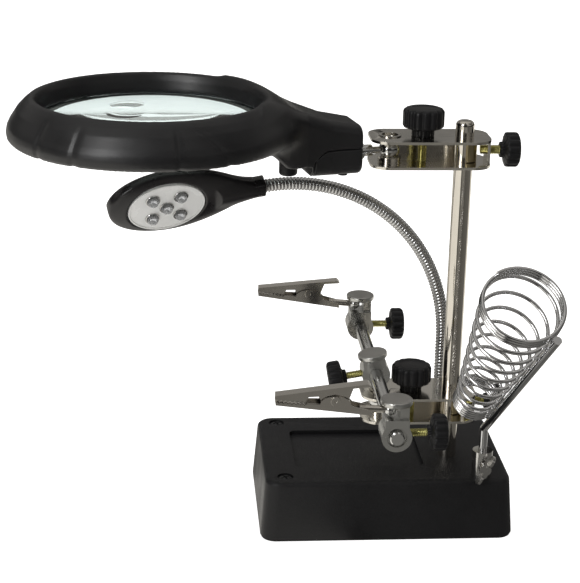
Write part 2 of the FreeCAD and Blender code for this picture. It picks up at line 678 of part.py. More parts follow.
def magnifier_parts():
    lens_low = RING_RISE + RING_HEIGHT - RING_LEDGE - SEAT - LENS_EDGE
    ring = turned(ring_profile())
    ring.translate(V(LENS_REACH, 0, 0))
    bowl = rod(LENS_RADIUS + 4.0, (LENS_REACH, 0, -40), (0, 0, 1), 90)
    neck = neck_body(0.0).cut(bowl)
    hollow = neck_body(-SHELL_WALL).cut(
        rod(RING_RADIUS - 6.0, (LENS_REACH, 0, -40), (0, 0, 1), 90)
    )
    cover_zone = box(NECK_START + 0.4, LATCH_REACH - 8.0, -NECK_WIDTH, NECK_WIDTH, -40, NECK_RISE - 4.0)
    bore = rod(BALL_STUD / 2 + SLIP, (0, 0, 0), (1, 0, 0), NECK_START + 14)
    collar = rod(BALL_STUD / 2 + 3.0, (NECK_START, 0, 0), (1, 0, 0), 12.0)
    keep = box(-1, LATCH_REACH - 7.6, -60, 60, -40, NECK_RISE - 3.7)
    upper = ring.fuse(neck.cut(hollow)).cut(keep)
    upper = upper.fuse(collar.common(neck)).cut(bore)
    cover = neck.cut(hollow).common(cover_zone)
    cover = without(cover, [rod(BALL_STUD / 2 + 3.0 + GAP, (0, 0, 0), (1, 0, 0), 80)])
    screws = []
    for side in (-1, 1):
        x = NECK_START + 7.0
        y = side * (NECK_WIDTH / 2 - 6.0)
        hole = rod(1.0 + SEAT, (x, y, -40), (0, 0, 1), 60)
        cover = cover.cut(hole)
        upper = upper.cut(hole)
        floor = NECK_RISE - NECK_HEIGHT / 2
        head = rod(1.9, (x, y, floor - 0.9), (0, 0, 1), 0.7)
        shank = rod(1.0, (x, y, floor - 0.9), (0, 0, 1), SHELL_WALL + 3.0)
        screws.append(joined([head, shank]))
    lens = lens_blank(lens_low)
    boss = rod(LATCH_DIAMETER / 2 + 3.0, (LATCH_REACH, 0, LATCH_FLOOR), (0, 0, 1), 40).common(neck)
    seat = rod(LATCH_DIAMETER / 2 + 1.0, (LATCH_REACH, 0, LATCH_FLOOR - 30.0), (0, 0, 1), 30.0)
    stem_hole = rod(2.0 + SLIP, (LATCH_REACH, 0, LATCH_FLOOR - 1.0), (0, 0, 1), 5.0)
    upper = without(upper.fuse(boss), [seat, stem_hole])
    return {
        "magnifier_housing": upper,
        "handle_cover": cover,
        "handle_screws": Part.Compound(screws),
        "magnifier_lens": lens,
        "lens_retainer": lens_retainer(lens_low),
        "latch_knob": latch_knob(),
    }


def lens_retainer(lens_low):
    """A flanged sleeve pressed in from below that carries the lens's crowned underside."""
    low = RING_RISE + 0.6
    shoulder = RING_RISE + RING_POCKET - 0.2
    grip = LENS_RADIUS - RETAINER_GRIP
    crown = LENS_CROWN * (1 - (grip / LENS_RADIUS) ** 2)
    top = lens_low - crown - SEAT
    ring = turned(
        [
            (grip, low),
            (LENS_RADIUS + 3.7, low),
            (LENS_RADIUS + 3.7, shoulder),
            (LENS_RADIUS, shoulder),
            (LENS_RADIUS, top),
            (grip, top),
        ]
    )
    return moved(ring, (LENS_REACH, 0, 0))


def lens_blank(low):
    """A glass with two crowned faces and a small strong spot raised on its upper face."""
    high = low + LENS_EDGE
    sag = LENS_CROWN
    radius = (LENS_RADIUS**2 + sag**2) / (2 * sag)
    band = rod(LENS_RADIUS, (LENS_REACH, 0, low), (0, 0, 1), LENS_EDGE)
    zone = rod(LENS_RADIUS, (LENS_REACH, 0, low - 10), (0, 0, 1), 30)
    over = ball(radius, (LENS_REACH, 0, high + sag - radius))
    over = over.common(zone).common(box(-10, 200, -60, 60, high - 0.5, high + 20))
    under = ball(radius, (LENS_REACH, 0, low - sag + radius))
    under = under.common(zone).common(box(-10, 200, -60, 60, low - 20, low + 0.5))
    spot_radius = (SPOT_RADIUS**2 + SPOT_HEIGHT**2) / (2 * SPOT_HEIGHT)
    spot_top = high + sag + 0.8
    across, aside = SPOT_PLACE
    centre = (LENS_REACH + across, aside, spot_top - spot_radius)
    spot = ball(spot_radius, centre).common(
        rod(SPOT_RADIUS, (centre[0], aside, spot_top - SPOT_HEIGHT), (0, 0, 1), 9)
    )
    return joined([band, over, under, spot])


def latch_knob():
    """A round knob under the ring's root that frees the lens."""
    low = LATCH_FLOOR - LATCH_HEIGHT
    stem = rod(2.0, (0, 0, low + 1.0), (0, 0, 1), LATCH_HEIGHT + 2.0)
    knob = rod(LATCH_DIAMETER / 2, (0, 0, low), (0, 0, 1), LATCH_HEIGHT - SLIP * 2)
    rim = [e for e in knob.Edges if abs(e.BoundBox.ZMax - low) < 0.01]
    knob = knob.makeFillet(1.4, rim[:1])
    whole = joined([knob, stem])
    whole.translate(V(LATCH_REACH, 0, 0))
    return whole


def magnifier_ball():
    return ball(BALL_DIAMETER / 2, (0, 0, 0))


def magnifier_stud():
    """The stud reaches from the ball into the handle; its end is hollowed to sit on the ball."""
    waist = rod(BALL_STUD / 2, (0, 0, 0), (1, 0, 0), NECK_START + 12.0)
    neck = rod(BALL_STUD / 2 - 1.0, (0, 0, 0), (1, 0, 0), 8.5)
    waist = waist.cut(box(-1, 8.2, -9, 9, -9, 9)).fuse(neck)
    ring = rod(BALL_STUD / 2 + 1.0, (NECK_START - 3.4, 0, 0), (1, 0, 0), 3.0)
    whole = joined([waist, ring])
    return whole.cut(ball(BALL_DIAMETER / 2 + SLIP, (0, 0, 0)))


# ---- gooseneck and lamp -----------------------------------------------------------------
# Drawn in a plane: out is the distance from the socket towards the lamp.
def neck_point(out, z, side=0.0):
    """A point of the gooseneck's plane, side being the distance behind that plane."""
    a = math.radians(NECK_TURN)
    x = NECK_X - out * math.cos(a) - side * math.sin(a)
    y = NECK_Y - out * math.sin(a) + side * math.cos(a)
    return V(x, y, z)


def neck_direction(out, up):
    a = math.radians(NECK_TURN)
    return V(-out * math.cos(a), -out * math.sin(a), up)


def arc_point(angle):
    """The gooseneck's centre line where it has turned by an angle from upright."""
    t = math.radians(angle)
    out = NECK_BEND_RADIUS * (1 - math.cos(t))
    return neck_point(out, BASE_TOP + NECK_STRAIGHT + NECK_BEND_RADIUS * math.sin(t))


def arc_direction(angle):
    t = math.radians(angle)
    return neck_direction(math.sin(t), math.cos(t))


def neck_piece(number):
    """One length of the gooseneck: a round front end that the next length's hollow rides on."""
    radius = NECK_DIAMETER / 2
    if number == 0:
        start = neck_point(0, BASE_TOP + NECK_CUP + GAP)
        body = Part.makeCylinder(radius, arc_point(0).z - start.z, start, V(0, 0, 1))
        foot = neck_point(0, BASE_TOP + 1.6 + SLIP)
        pin = Part.makeCylinder(NECK_PIN / 2, start.z - foot.z + 1.0, foot, V(0, 0, 1))
        body = body.fuse(pin)
    else:
        first = NECK_ARC_ANGLE * (number - 1)
        last = NECK_ARC_ANGLE * number
        middle = (first + last) / 2
        path = Part.Arc(arc_point(first), arc_point(middle), arc_point(last)).toShape()
        circle = Part.makeCircle(radius, arc_point(first), arc_direction(first))
        body = Part.Wire([path]).makePipe(Part.Face(Part.Wire([circle])))
        body = body.cut(Part.makeSphere(radius + 0.1, arc_point(first)))
    end_angle = NECK_ARC_ANGLE * number
    return body.fuse(Part.makeSphere(radius, arc_point(end_angle)))


def gooseneck_socket():
    """The ferrule that the gooseneck turns in, screwed through the base's top."""
    flange = rod(5.4, (NECK_X, NECK_Y, BASE_TOP), (0, 0, 1), 1.6)
    cup = rod(4.4, (NECK_X, NECK_Y, BASE_TOP), (0, 0, 1), NECK_CUP)
    bore = rod(NECK_PIN / 2 + SLIP, (NECK_X, NECK_Y, BASE_TOP + 1.6), (0, 0, 1), NECK_CUP)
    return joined([flange, cup, threaded_stem(NECK_X, NECK_Y)]).cut(bore)


def lamp_frame():
    """The lamp's place: origin at the neck's end, +X along the head, +Z out of its face."""
    end = arc_point(NECK_ARC_ANGLE * NECK_ARCS)
    along = arc_direction(NECK_ARC_ANGLE * NECK_ARCS)
    pitch = math.radians(LAMP_PITCH)
    a = math.radians(NECK_TURN)
    front = V(math.sin(a) * math.cos(pitch), -math.cos(a) * math.cos(pitch), math.sin(pitch))
    front = front - along * front.dot(along)
    front.normalize()
    across = front.cross(along)
    turn = FreeCAD.Rotation(along, across, front, "ZXY")
    return FreeCAD.Placement(end, turn)


def lamp_placed(shape):
    copy = shape.copy()
    copy.Placement = lamp_frame().multiply(copy.Placement)
    return copy


def lamp_section(x, half_width, back, front):
    """A closed section across the head: round back, flat face."""
    points = [
        V(x, -half_width, front),
        V(x, -half_width * 0.92, -back * 0.45),
        V(x, -half_width * 0.55, -back * 0.88),
        V(x, 0, -back),
        V(x, half_width * 0.55, -back * 0.88),
        V(x, half_width * 0.92, -back * 0.45),
        V(x, half_width, front),
    ]
    curve = Part.BSplineCurve()
    curve.interpolate(points)
    return Part.Wire([curve.toShape(), Part.makeLine(points[-1], points[0])])


def lamp_body():
    """The teardrop head from the neck's sleeve to its round tip."""
    centre = LAMP_MIDDLE
    reach = LAMP_LENGTH - centre
    sections = []
    for share in (-1.0, -0.62, -0.2, 0.2, 0.55, 0.82, 0.97):
        if share < 0:
            x = centre + share * (centre - 6.0)
            swell = math.cos(math.radians(90 * -share)) ** 0.8 if share > -1 else 0.0
            half = LAMP_SLEEVE + (LAMP_WIDTH / 2 - LAMP_SLEEVE) * swell
        else:
            x = centre + share * reach
            half = LAMP_WIDTH / 2 * math.sqrt(1 - (share * 0.98) ** 2)
        back = 3.6 + (LAMP_THICK - 7.6) * min(1.0, half / (LAMP_WIDTH / 2))
        sections.append(lamp_section(x, half, back, LAMP_FACE))
    return Part.makeLoft(sections, True, False)


def lamp_parts():
    plate_x = LAMP_MIDDLE + PLATE_SHIFT
    face = LAMP_FACE
    ellipse = Part.Ellipse(V(plate_x, 0, 0), PLATE_LONG / 2, PLATE_SHORT / 2).toShape()
    oval = Part.Face(Part.Wire([ellipse]))
    pocket = oval.extrude(V(0, 0, 20))
    pocket.translate(V(0, 0, face - 4.2))
    sleeve = rod(LAMP_SLEEVE, (1.0, 0, 0), (1, 0, 0), 12.0)
    housing = lamp_body().fuse(sleeve).cut(pocket)
    housing = housing.cut(rod(NECK_DIAMETER / 2 + SLIP, (-1, 0, 0), (1, 0, 0), 8.0))
    plate_face = Part.Face(
        Part.Wire(
            [
                Part.Ellipse(
                    V(plate_x, 0, 0), PLATE_LONG / 2 - SEAT, PLATE_SHORT / 2 - SEAT
                ).toShape()
            ]
        )
    )
    plate = plate_face.extrude(V(0, 0, 1.0))
    plate.translate(V(0, 0, face - 1.6))
    leds = []
    holes = []
    places = [(0, 0)] + [
        (sx * LED_PITCH_LONG / 2, sy * LED_PITCH_SHORT / 2) for sx in (-1, 1) for sy in (-1, 1)
    ]
    for dx, dy in places:
        x = plate_x + dx
        collar = rod(LED_DIAMETER / 2 + 0.3, (x, dy, face - 2.8), (0, 0, 1), 0.9)
        stem = rod(LED_DIAMETER / 2, (x, dy, face - 2.8), (0, 0, 1), 3.0)
        tip = ball(LED_DIAMETER / 2, (x, dy, face + 0.2))
        leds.append(joined([collar, stem, tip]))
        holes.append(rod(LED_DIAMETER / 2 + SEAT, (x, dy, 0), (0, 0, 1), 20))
    return {
        "lamp_housing": housing,
        "lamp_plate": without(plate, holes),
        "lamp_leds": Part.Compound(leds),
    }


# ---- cross arm --------------------------------------------------------------------------
def arm_start():
    return V(ARM_X, POST_Y - ARM_FRONT, ARM_Z)


def arm_rod():
    body = rod(ARM_DIAMETER / 2, tuple(arm_start()), (0, 1, 0), ARM_FRONT + ARM_BACK)
    return body.makeChamfer(0.5, [e for e in body.Edges if len(e.Vertexes) == 1][:2])


def end_block():
    """An end block round the arm, drawn with the arm along Y at the origin.

    The arm's eye is below, a neck above it has a seat for the clip's ball, and a round
    plate closes the top.
    """
    half = BLOCK_BODY / 2
    eye = rod(ARM_DIAMETER / 2 + 3.2, (0, -half, 0), (0, 1, 0), BLOCK_BODY)
    stem = box(-half + 0.6, half - 0.6, -half, half, 0, clip_seat_z() - CLIP_BALL / 2 - GAP)
    spine = box(1.2, half - 0.6, -half + 1.6, half - 1.6, 2.0, BLOCK_RISE - 1.0)
    disc = rod(BLOCK_DISC / 2, (0, 0, BLOCK_RISE - BLOCK_DISC_THICK), (0, 0, 1), BLOCK_DISC_THICK)
    disc = disc.makeFillet(0.7, [e for e in disc.Edges if len(e.Vertexes) == 1][:2])
    whole = joined([eye, stem, spine, disc])
    return without(
        whole,
        [
            rod(ARM_DIAMETER / 2 + SLIP, (0, -20, 0), (0, 1, 0), 40),
            rod(ARM_DIAMETER / 2 + EYE_RELIEF, (0, -half - 1, 0), (0, 1, 0), 2.6),
            rod(ARM_DIAMETER / 2 + EYE_RELIEF, (0, half - 1.6, 0), (0, 1, 0), 2.6),
            ball(CLIP_BALL / 2 + SLIP, (CLIP_SEAT_X, 0, clip_seat_z())),
            rod(BLOCK_SCREW / 2 + SLIP, (ARM_DIAMETER / 2, 0, 0), (1, 0, 0), 20),
        ],
    )


def clip_seat_z():
    """The clip's ball sits just under the round plate."""
    return BLOCK_RISE - BLOCK_DISC_THICK - CLIP_BALL / 2 + 0.1


def middle_block():
    """The middle block joins the arm to the stud that rises from the lower clamp's ball."""
    half = BLOCK_BODY / 2
    eye = rod(ARM_DIAMETER / 2 + 3.2, (0, -half, 0), (0, 1, 0), BLOCK_BODY)
    stem = box(-half + 0.6, half - 0.6, -half, half, 0, MIDDLE_RISE - BLOCK_DISC_THICK + 0.4)
    disc = rod(BLOCK_DISC / 2, (0, 0, MIDDLE_RISE - BLOCK_DISC_THICK), (0, 0, 1), BLOCK_DISC_THICK)
    disc = disc.makeFillet(0.7, [e for e in disc.Edges if len(e.Vertexes) == 1][:2])
    whole = joined([eye, stem, disc])
    return without(
        whole,
        [
            rod(ARM_DIAMETER / 2 + SLIP, (0, -20, 0), (0, 1, 0), 40),
            rod(BLOCK_SCREW / 2 + SLIP, (-20, 0, 0), (1, 0, 0), 20 - ARM_DIAMETER / 2),
        ],
    )


def block_screw():
    """A thumb screw along +X: its tip stops just short of the arm."""
    start = ARM_DIAMETER / 2 + GAP
    shank = rod(BLOCK_SCREW / 2, (start, 0, 0), (1, 0, 0), BLOCK_KNOB_REACH - start + 2)
    neck = rod(3.0, (BLOCK_KNOB_REACH - 2.0, 0, 0), (1, 0, 0), 2.0)
    knob = fluted(LOCK_KNOB_DIAMETER, LOCK_KNOB_THICK, KNOB_FLUTES, 0.6)
    knob = aimed(knob, (BLOCK_KNOB_REACH, 0, 0), (1, 0, 0))
    return joined([shank, neck, knob])


def link_stud():
    """From the lower clamp's ball up to the middle block, which turns on its top pin."""
    start = V(BALL_X, POST_Y, LOWER_Z)
    end = middle_place()
    line = end - start
    line.normalize()
    reach = (end - start).Length
    shaft = Part.makeCylinder(LINK_STUD / 2, reach - ARM_DIAMETER / 2 - 3.2 - GAP, start, line)
    return shaft.fuse(Part.makeSphere(BALL_DIAMETER / 2, start))


def middle_place():
    return V(ARM_X, POST_Y, ARM_Z)


# ---- clips ------------------------------------------------------------------------------
# Drawn with the ball at the origin and the jaws pointing to -X; the lower jaw carries the ball.
def channel(outline, width, sheet, sign):
    """A closed sheet channel from a side outline of (x, z) points, open towards the other jaw."""
    half = width / 2
    points = [V(x, -half, z) for x, z in outline]
    solid = Part.Face(Part.makePolygon(points + points[:1])).extrude(V(0, width, 0))
    inner = [V(x, -half + sheet, z - sign * sheet) for x, z in outline]
    hollow = Part.Face(Part.makePolygon(inner + inner[:1])).extrude(V(0, width - 2 * sheet, 0))
    return solid.cut(hollow)


def lower_jaw():
    """The jaw that carries the ball: a trough with a hump round the rivet and a round tail."""
    rivet = RIVET_X
    hump = [
        (rivet + 6.2 * math.cos(math.radians(a)), 3.6 + 3.4 * math.sin(math.radians(a)))
        for a in range(0, 181, 20)
    ]
    outline = [(TIP_X, 4.5), (TIP_X, 3.2), (rivet, 0.4)]
    outline += [(rivet + JAW_BACK, -1.3), (rivet + JAW_BACK - 1.0, 0.9)]
    outline += [(rivet + 7.4, 2.4)] + hump + [(rivet - 12.0, 3.7)]
    trough = channel(outline, JAW_WIDTH, JAW_SHEET, -1)
    start = V(rivet + 10.0, 0, 0.6)
    tail = Part.makeCylinder(TAIL_DIAMETER / 2, start.Length - 1.0, start, start * -1)
    whole = joined([trough, tail])
    return without(
        whole,
        jaw_teeth(TIP_X, 4.5, 3.75)
        + [
            rod(RIVET_DIAMETER / 2 + SLIP, (rivet, -10, RIVET_RISE), (0, 1, 0), 20),
            ball(CLIP_BALL / 2, (0, 0, 0)),
        ],
    )


def jaw_teeth(tip, first, last):
    """Notches along a jaw's edge, from the height first at the tip to last by the cut-out."""
    teeth = []
    for n in range(JAW_TEETH):
        share = n / (JAW_TEETH - 1)
        place = (tip + 1.4 + (JAW_FRONT - 13.8) * share, 0, first + (last - first) * share)
        teeth.append(moved(box(-0.45, 0.45, -6, 6, -0.45, 0.45), place, (0, 1, 0), 45))
    return teeth


def upper_jaw():
    """The jaw that turns on the rivet, between the lower jaw's sides, with a curled thumb end."""
    rivet = RIVET_X
    width = JAW_WIDTH - 2 * JAW_SHEET - 2 * SLIP
    outline = [
        (TIP_X, 4.7),
        (TIP_X, 6.9),
        (rivet + 10.5, 11.6),
        (rivet + 13.0, 11.9),
        (rivet + 14.2, 11.0),
        (rivet + 13.4, 10.6),
        (rivet + 7.0, 10.0),
        (rivet + 5.2, 4.6),
        (rivet + 2.8, 2.6),
        (rivet - 2.8, 2.6),
        (rivet - 5.6, 4.4),
        (rivet - 6.8, 6.6),
        (rivet - 10.8, 6.4),
        (rivet - 12.2, 4.0),
    ]
    trough = channel(outline, width, JAW_SHEET, 1)
    pivot = rod(RIVET_DIAMETER / 2 + SLIP, (rivet, -10, RIVET_RISE), (0, 1, 0), 20)
    return without(trough, jaw_teeth(TIP_X - 0.85, 4.75, 4.0) + [pivot])


def clip_rivet():
    half = JAW_WIDTH / 2
    pin = rod(RIVET_DIAMETER / 2, (RIVET_X, -half - 0.1, RIVET_RISE), (0, 1, 0), JAW_WIDTH + 0.2)
    heads = [
        tube(RIVET_DIAMETER / 2 + 0.8, 0.6, (RIVET_X, y, RIVET_RISE), (0, 1, 0), 0.5)
        for y in (-half - 0.55, half + 0.05)
    ]
    return joined([pin] + heads)


def clip_spring():
    """The coil round the rivet that holds the jaws shut."""
    width = JAW_WIDTH - 4 * JAW_SHEET - 2 * SLIP - 0.6
    inner = RIVET_DIAMETER / 2 + 0.2
    return tube(inner + 0.8, inner, (RIVET_X, -width / 2, RIVET_RISE), (0, 1, 0), width)


# ---- soldering iron stand ---------------------------------------------------------------
def iron_socket():
    """The tube that the stand's rod drops into, on its own threaded stem."""
    outer, inner = SOCKET_DIAMETER / 2, STAND_ROD / 2 + SLIP
    start = (STAND_X, STAND_Y, BASE_TOP + 1.5)
    tube_part = tube(outer, inner, start, (0, 0, 1), SOCKET_HEIGHT - 1.5)
    foot = rod(SOCKET_DIAMETER / 2, (STAND_X, STAND_Y, BASE_TOP), (0, 0, 1), 1.5)
    whole = joined([tube_part, foot, threaded_stem(STAND_X, STAND_Y)])
    z = BASE_TOP + SOCKET_HEIGHT * 0.5
    return whole.cut(rod(1.5 + SLIP, (STAND_X, STAND_Y, z), (0, -1, 0), 20))


def wing_screw():
    """A screw with two wings, from the front of the socket to the rod."""
    start = STAND_ROD / 2 + GAP
    end = SOCKET_DIAMETER / 2 + 1.0
    shank = rod(1.5, (0, 0, start), (0, 0, 1), end - start)
    hub = rod(2.6, (0, 0, end), (0, 0, 1), 3.2)
    wings = []
    for turn in (0, 180):
        blade = rod(2.7, (4.6, 0.6, end + 3.0), (0, 1, 0), 1.2)
        blade.translate(V(0, -1.2, 0))
        arm = box(1.5, 4.6, -0.6, 0.6, end + 0.8, end + 3.8)
        wings.append(moved(joined([blade, arm]), angle=turn))
    whole = joined([shank, hub] + wings)
    z = BASE_TOP + SOCKET_HEIGHT * 0.5
    turned_screw = moved(whole, angle=60)
    return aimed(turned_screw, (STAND_X, STAND_Y, z), (0, -1, 0))


def coil_axis():
    axis = V(6.6, -54.7, 64.8)
    axis.normalize()
    return axis


def coil_side():
    """The direction from the coil's axis to the rod that runs under it."""
    axis = coil_axis()
    down = V(0, 0, -1) + axis * axis.z
    down.normalize()
    side = axis.cross(down)
    if side.x < 0:
        side = side * -1
    way = down * math.cos(math.radians(30)) + side * math.sin(math.radians(30))
    way.normalize()
    return way


def stand_kink():
    return V(STAND_X, STAND_Y, BASE_TOP + SOCKET_HEIGHT + STAND_UPRIGHT)


def coil_mouth():
    """Height along the coil where the close turns of its mouth start."""
    return COIL_LENGTH - COIL_RING_TURNS * COIL_WIRE * COIL_CLOSE


def rod_reach(height):
    """Distance of the rod's axis from the coil's at a height; the rod touches both ends."""
    slope = (COIL_LARGE - COIL_SMALL) / coil_mouth()
    return COIL_SMALL + COIL_WIRE / 2 + STAND_ROD / 2 + WELD_GAP + slope * height


def coil_foot():
    """Middle of the coil's lower end, clear of the rod that carries it."""
    return stand_kink() - coil_side() * rod_reach(-COIL_LIFT) + coil_axis() * COIL_LIFT


def stand_rod():
    """An upright in the socket, a bend, and a straight run under the coil to its top ring."""
    radius = STAND_ROD / 2
    foot = V(STAND_X, STAND_Y, BASE_TOP + 1.5 + SLIP)
    kink = stand_kink()
    top = coil_foot() + coil_axis() * COIL_LENGTH + coil_side() * rod_reach(COIL_LENGTH)
    upright = Part.makeCylinder(radius, (kink - foot).Length, foot, V(0, 0, 1))
    run = Part.makeCylinder(radius, (top - kink).Length, kink, top - kink)
    return joined([upright, Part.makeSphere(radius, kink), run])


def coil_path():
    """Close turns at both ends with an open cone of turns between them."""
    axis = coil_axis()
    side = coil_side()
    across = axis.cross(side)
    foot = coil_foot()
    points = []
    steps = 20
    foot_turns, open_turns, ring_turns = COIL_FOOT_TURNS, COIL_OPEN_TURNS, COIL_RING_TURNS
    total = foot_turns + open_turns + ring_turns
    close = COIL_WIRE * COIL_CLOSE
    for n in range(int(total * steps) + 1):
        turn = n / steps
        if turn <= foot_turns:
            height = turn * close
            radius = COIL_SMALL
        elif turn <= foot_turns + open_turns:
            share = (turn - foot_turns) / open_turns
            run = COIL_LENGTH - (foot_turns + ring_turns) * close
            height = foot_turns * close + run * share ** COIL_SPREAD
            radius = COIL_SMALL + (COIL_LARGE - COIL_SMALL) * share ** COIL_SPREAD
        else:
            height = COIL_LENGTH - (total - turn) * close
            radius = COIL_LARGE
        a = 2 * math.pi * turn
        points.append(
            foot
            + axis * height
            + side * (radius * math.cos(a))
            + across * (radius * math.sin(a))
        )
    return points


def stand_coil():
    curve = Part.BSplineCurve()
    curve.interpolate(coil_path())
    path = Part.Wire([curve.toShape()])
    start = curve.value(curve.FirstParameter)
    tangent = curve.tangent(curve.FirstParameter)[0]
    circle = Part.Wire([Part.makeCircle(COIL_WIRE / 2, start, tangent)])
    return path.makePipeShell([circle], True, True)


# ---- everything -------------------------------------------------------------------------
def clamp_nodes(name, z):
    save(name + "_bracket", bracket(z))
    save(name + "_shoe", shoe(z))
    save(name + "_clamp_knob", clamp_knob(z))
    save(name + "_clamp_screw", clamp_screw(z))
    save(name + "_lock_screw", lock_screw(z))


def clip_nodes(name, place, lift):
    """A clip with its ball in a block's seat, its tip lifted by an angle."""
    seat = V(place.x + CLIP_SEAT_X, place.y, place.z + clip_seat_z())
    shapes = {
        "_clip_ball": ball(CLIP_BALL / 2, (0, 0, 0)),
        "_clip_lower_jaw": lower_jaw(),
        "_clip_upper_jaw": upper_jaw(),
        "_clip_rivet": clip_rivet(),
        "_clip_spring": clip_spring(),
    }
    for suffix, shape in shapes.items():
        save(name + suffix, moved(shape, tuple(seat), (0, 1, 0), lift))


def main():
    os.makedirs("parts", exist_ok=True)
    save("base_shell", base_shell())
    save("base_plate", base_plate())
    save("base_pad", base_pad())
    save("base_screws", base_screws())
    save("base_weight", base_weight())
    save("battery_cells", battery_cells())
    save("battery_door", battery_door())
    housing, slider = power_switch()
    save("switch_housing", housing)
    save("switch_slider", slider)
    save("base_nuts", base_nuts())
    save("post", post())
    clamp_nodes("upper", UPPER_Z)
    clamp_nodes("lower", LOWER_Z)
    for node, shape in magnifier_parts().items():
        save(node, head_placed(shape))
    save("magnifier_ball", head_placed(magnifier_ball()))
    save("magnifier_stud", head_placed(magnifier_stud()))
    save("gooseneck_socket", gooseneck_socket())
    for number in range(NECK_ARCS + 1):
        save("gooseneck_" + str(number + 1), neck_piece(number))
    for node, shape in lamp_parts().items():
        save(node, lamp_placed(shape))
    save("link_stud", link_stud())
    save("arm_rod", arm_rod())
    middle = middle_place()
    save("middle_block", moved(middle_block(), tuple(middle), (0, 1, 0), -10))
    save("middle_lock_screw", moved(moved(block_screw(), angle=180), tuple(middle), (0, 1, 0), -10))
    front = V(ARM_X, POST_Y - ARM_FRONT + 7.0, ARM_Z)
    back = V(ARM_X, POST_Y + ARM_BACK - 7.0, ARM_Z)
    for name, place, lift in (("front", front, CLIP_LIFT), ("back", back, CLIP_LIFT + 2)):
        save(name + "_block", moved(end_block(), tuple(place)))
        save(name + "_lock_screw", moved(block_screw(), tuple(place)))
        clip_nodes(name, place, lift)
    save("iron_socket", iron_socket())
    save("iron_wing_screw", wing_screw())
    save("iron_rod", stand_rod())
    save("iron_coil", stand_coil())


main()
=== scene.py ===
import json
import math

import bmesh
import bpy
import numpy as np
from mathutils import Matrix, Vector


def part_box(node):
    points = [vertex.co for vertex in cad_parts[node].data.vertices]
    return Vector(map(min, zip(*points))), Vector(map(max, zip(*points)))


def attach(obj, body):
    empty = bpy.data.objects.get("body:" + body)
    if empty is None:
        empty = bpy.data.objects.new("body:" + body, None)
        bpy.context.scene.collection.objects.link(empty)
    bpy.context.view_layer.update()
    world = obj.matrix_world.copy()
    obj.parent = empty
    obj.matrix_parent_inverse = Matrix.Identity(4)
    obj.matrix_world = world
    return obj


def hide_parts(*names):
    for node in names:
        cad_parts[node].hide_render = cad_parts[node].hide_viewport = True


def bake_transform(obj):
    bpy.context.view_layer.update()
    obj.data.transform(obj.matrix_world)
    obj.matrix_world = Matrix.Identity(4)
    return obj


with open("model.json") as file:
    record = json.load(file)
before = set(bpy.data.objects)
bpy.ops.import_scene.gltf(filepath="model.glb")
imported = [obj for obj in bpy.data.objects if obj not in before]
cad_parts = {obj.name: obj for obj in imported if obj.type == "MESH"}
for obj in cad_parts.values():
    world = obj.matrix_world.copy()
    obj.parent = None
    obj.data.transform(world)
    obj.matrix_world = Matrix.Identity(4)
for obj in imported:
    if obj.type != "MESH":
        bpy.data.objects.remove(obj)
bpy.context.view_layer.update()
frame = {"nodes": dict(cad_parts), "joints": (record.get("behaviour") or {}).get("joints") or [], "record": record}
MM = 0.001
NODES = frame["nodes"]
JOINTS = {j["name"]: j for j in frame["joints"]}
BODY = {n: b for b, names in frame["record"]["behaviour"]["bodies"].items() for n in names}


# ---- places taken from the frame ------------------------------------------------------------
def middle(node):
    low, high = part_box(node)
    return (low + high) / 2


def joint_place(name):
    joint = JOINTS[name]
    return Vector(joint["pos_m"]), Vector(joint["axis"]).normalized()


def basis(x, z):
    """A turning matrix with its X and Z columns along the given ways."""
    x = x.normalized()
    z = (z - x * z.dot(x)).normalized()
    y = z.cross(x)
    return Matrix((x, y, z)).transposed().to_4x4()


def along_z(direction):
    return Vector(direction).to_track_quat("Z", "Y").to_matrix().to_4x4()


# ---- mesh helpers -----------------------------------------------------------------------------
def new_piece(name, points, faces, body, material, matrix=None, sharp=None):
    mesh = bpy.data.meshes.new(name)
    mesh.from_pydata([tuple(p) for p in points], [], [tuple(f) for f in faces])
    if matrix is not None:
        mesh.transform(matrix)
    mesh.update()
    mesh.shade_smooth()
    if sharp is not None:
        mesh.set_sharp_from_angle(angle=math.radians(sharp))
    piece = bpy.data.objects.new(name, mesh)
    bpy.context.scene.collection.objects.link(piece)
    piece.data.materials.append(material)
    if body:
        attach(piece, body)
    return piece


def stacked_faces(rings, segments):
    """Faces of a closed solid made of equal rings of points, one above another."""
    faces = []
    for i in range(rings - 1):
        a = i * segments
        for j in range(segments):
            k = (j + 1) % segments
            faces.append((a + j, a + k, a + segments + k, a + segments + j))
    faces.append(tuple(reversed(range(segments))))
    faces.append(tuple((rings - 1) * segments + j for j in range(segments)))
    return faces


def ring_faces(around, profile):
    """Faces of a ring: a closed profile of points, repeated at each step around."""
    faces = []
    for j in range(around):
        k = (j + 1) % around
        for i in range(profile):
            m = (i + 1) % profile
            faces.append((j * profile + i, k * profile + i, k * profile + m, j * profile + m))
    return faces


def spun(radius, heights, segments):
    """Points and faces of a closed round solid whose radius is a function of angle and height."""
    angle = np.arange(segments) * 2 * math.pi / segments
    rows = []
    for h in heights:
        r = radius(angle, h)
        rows.append(np.stack([r * np.cos(angle), r * np.sin(angle), np.full(segments, h)], 1))
    return np.concatenate(rows) * MM, stacked_faces(len(heights), segments)


def ring_solid(profile, segments):
    """Points and faces of a ring: a closed profile of (radius, height) pairs turned about Z."""
    angle = np.arange(segments) * 2 * math.pi / segments
    points = [
        (r * math.cos(a) * MM, r * math.sin(a) * MM, z * MM) for a in angle for r, z in profile
    ]
    return points, ring_faces(segments, len(profile))


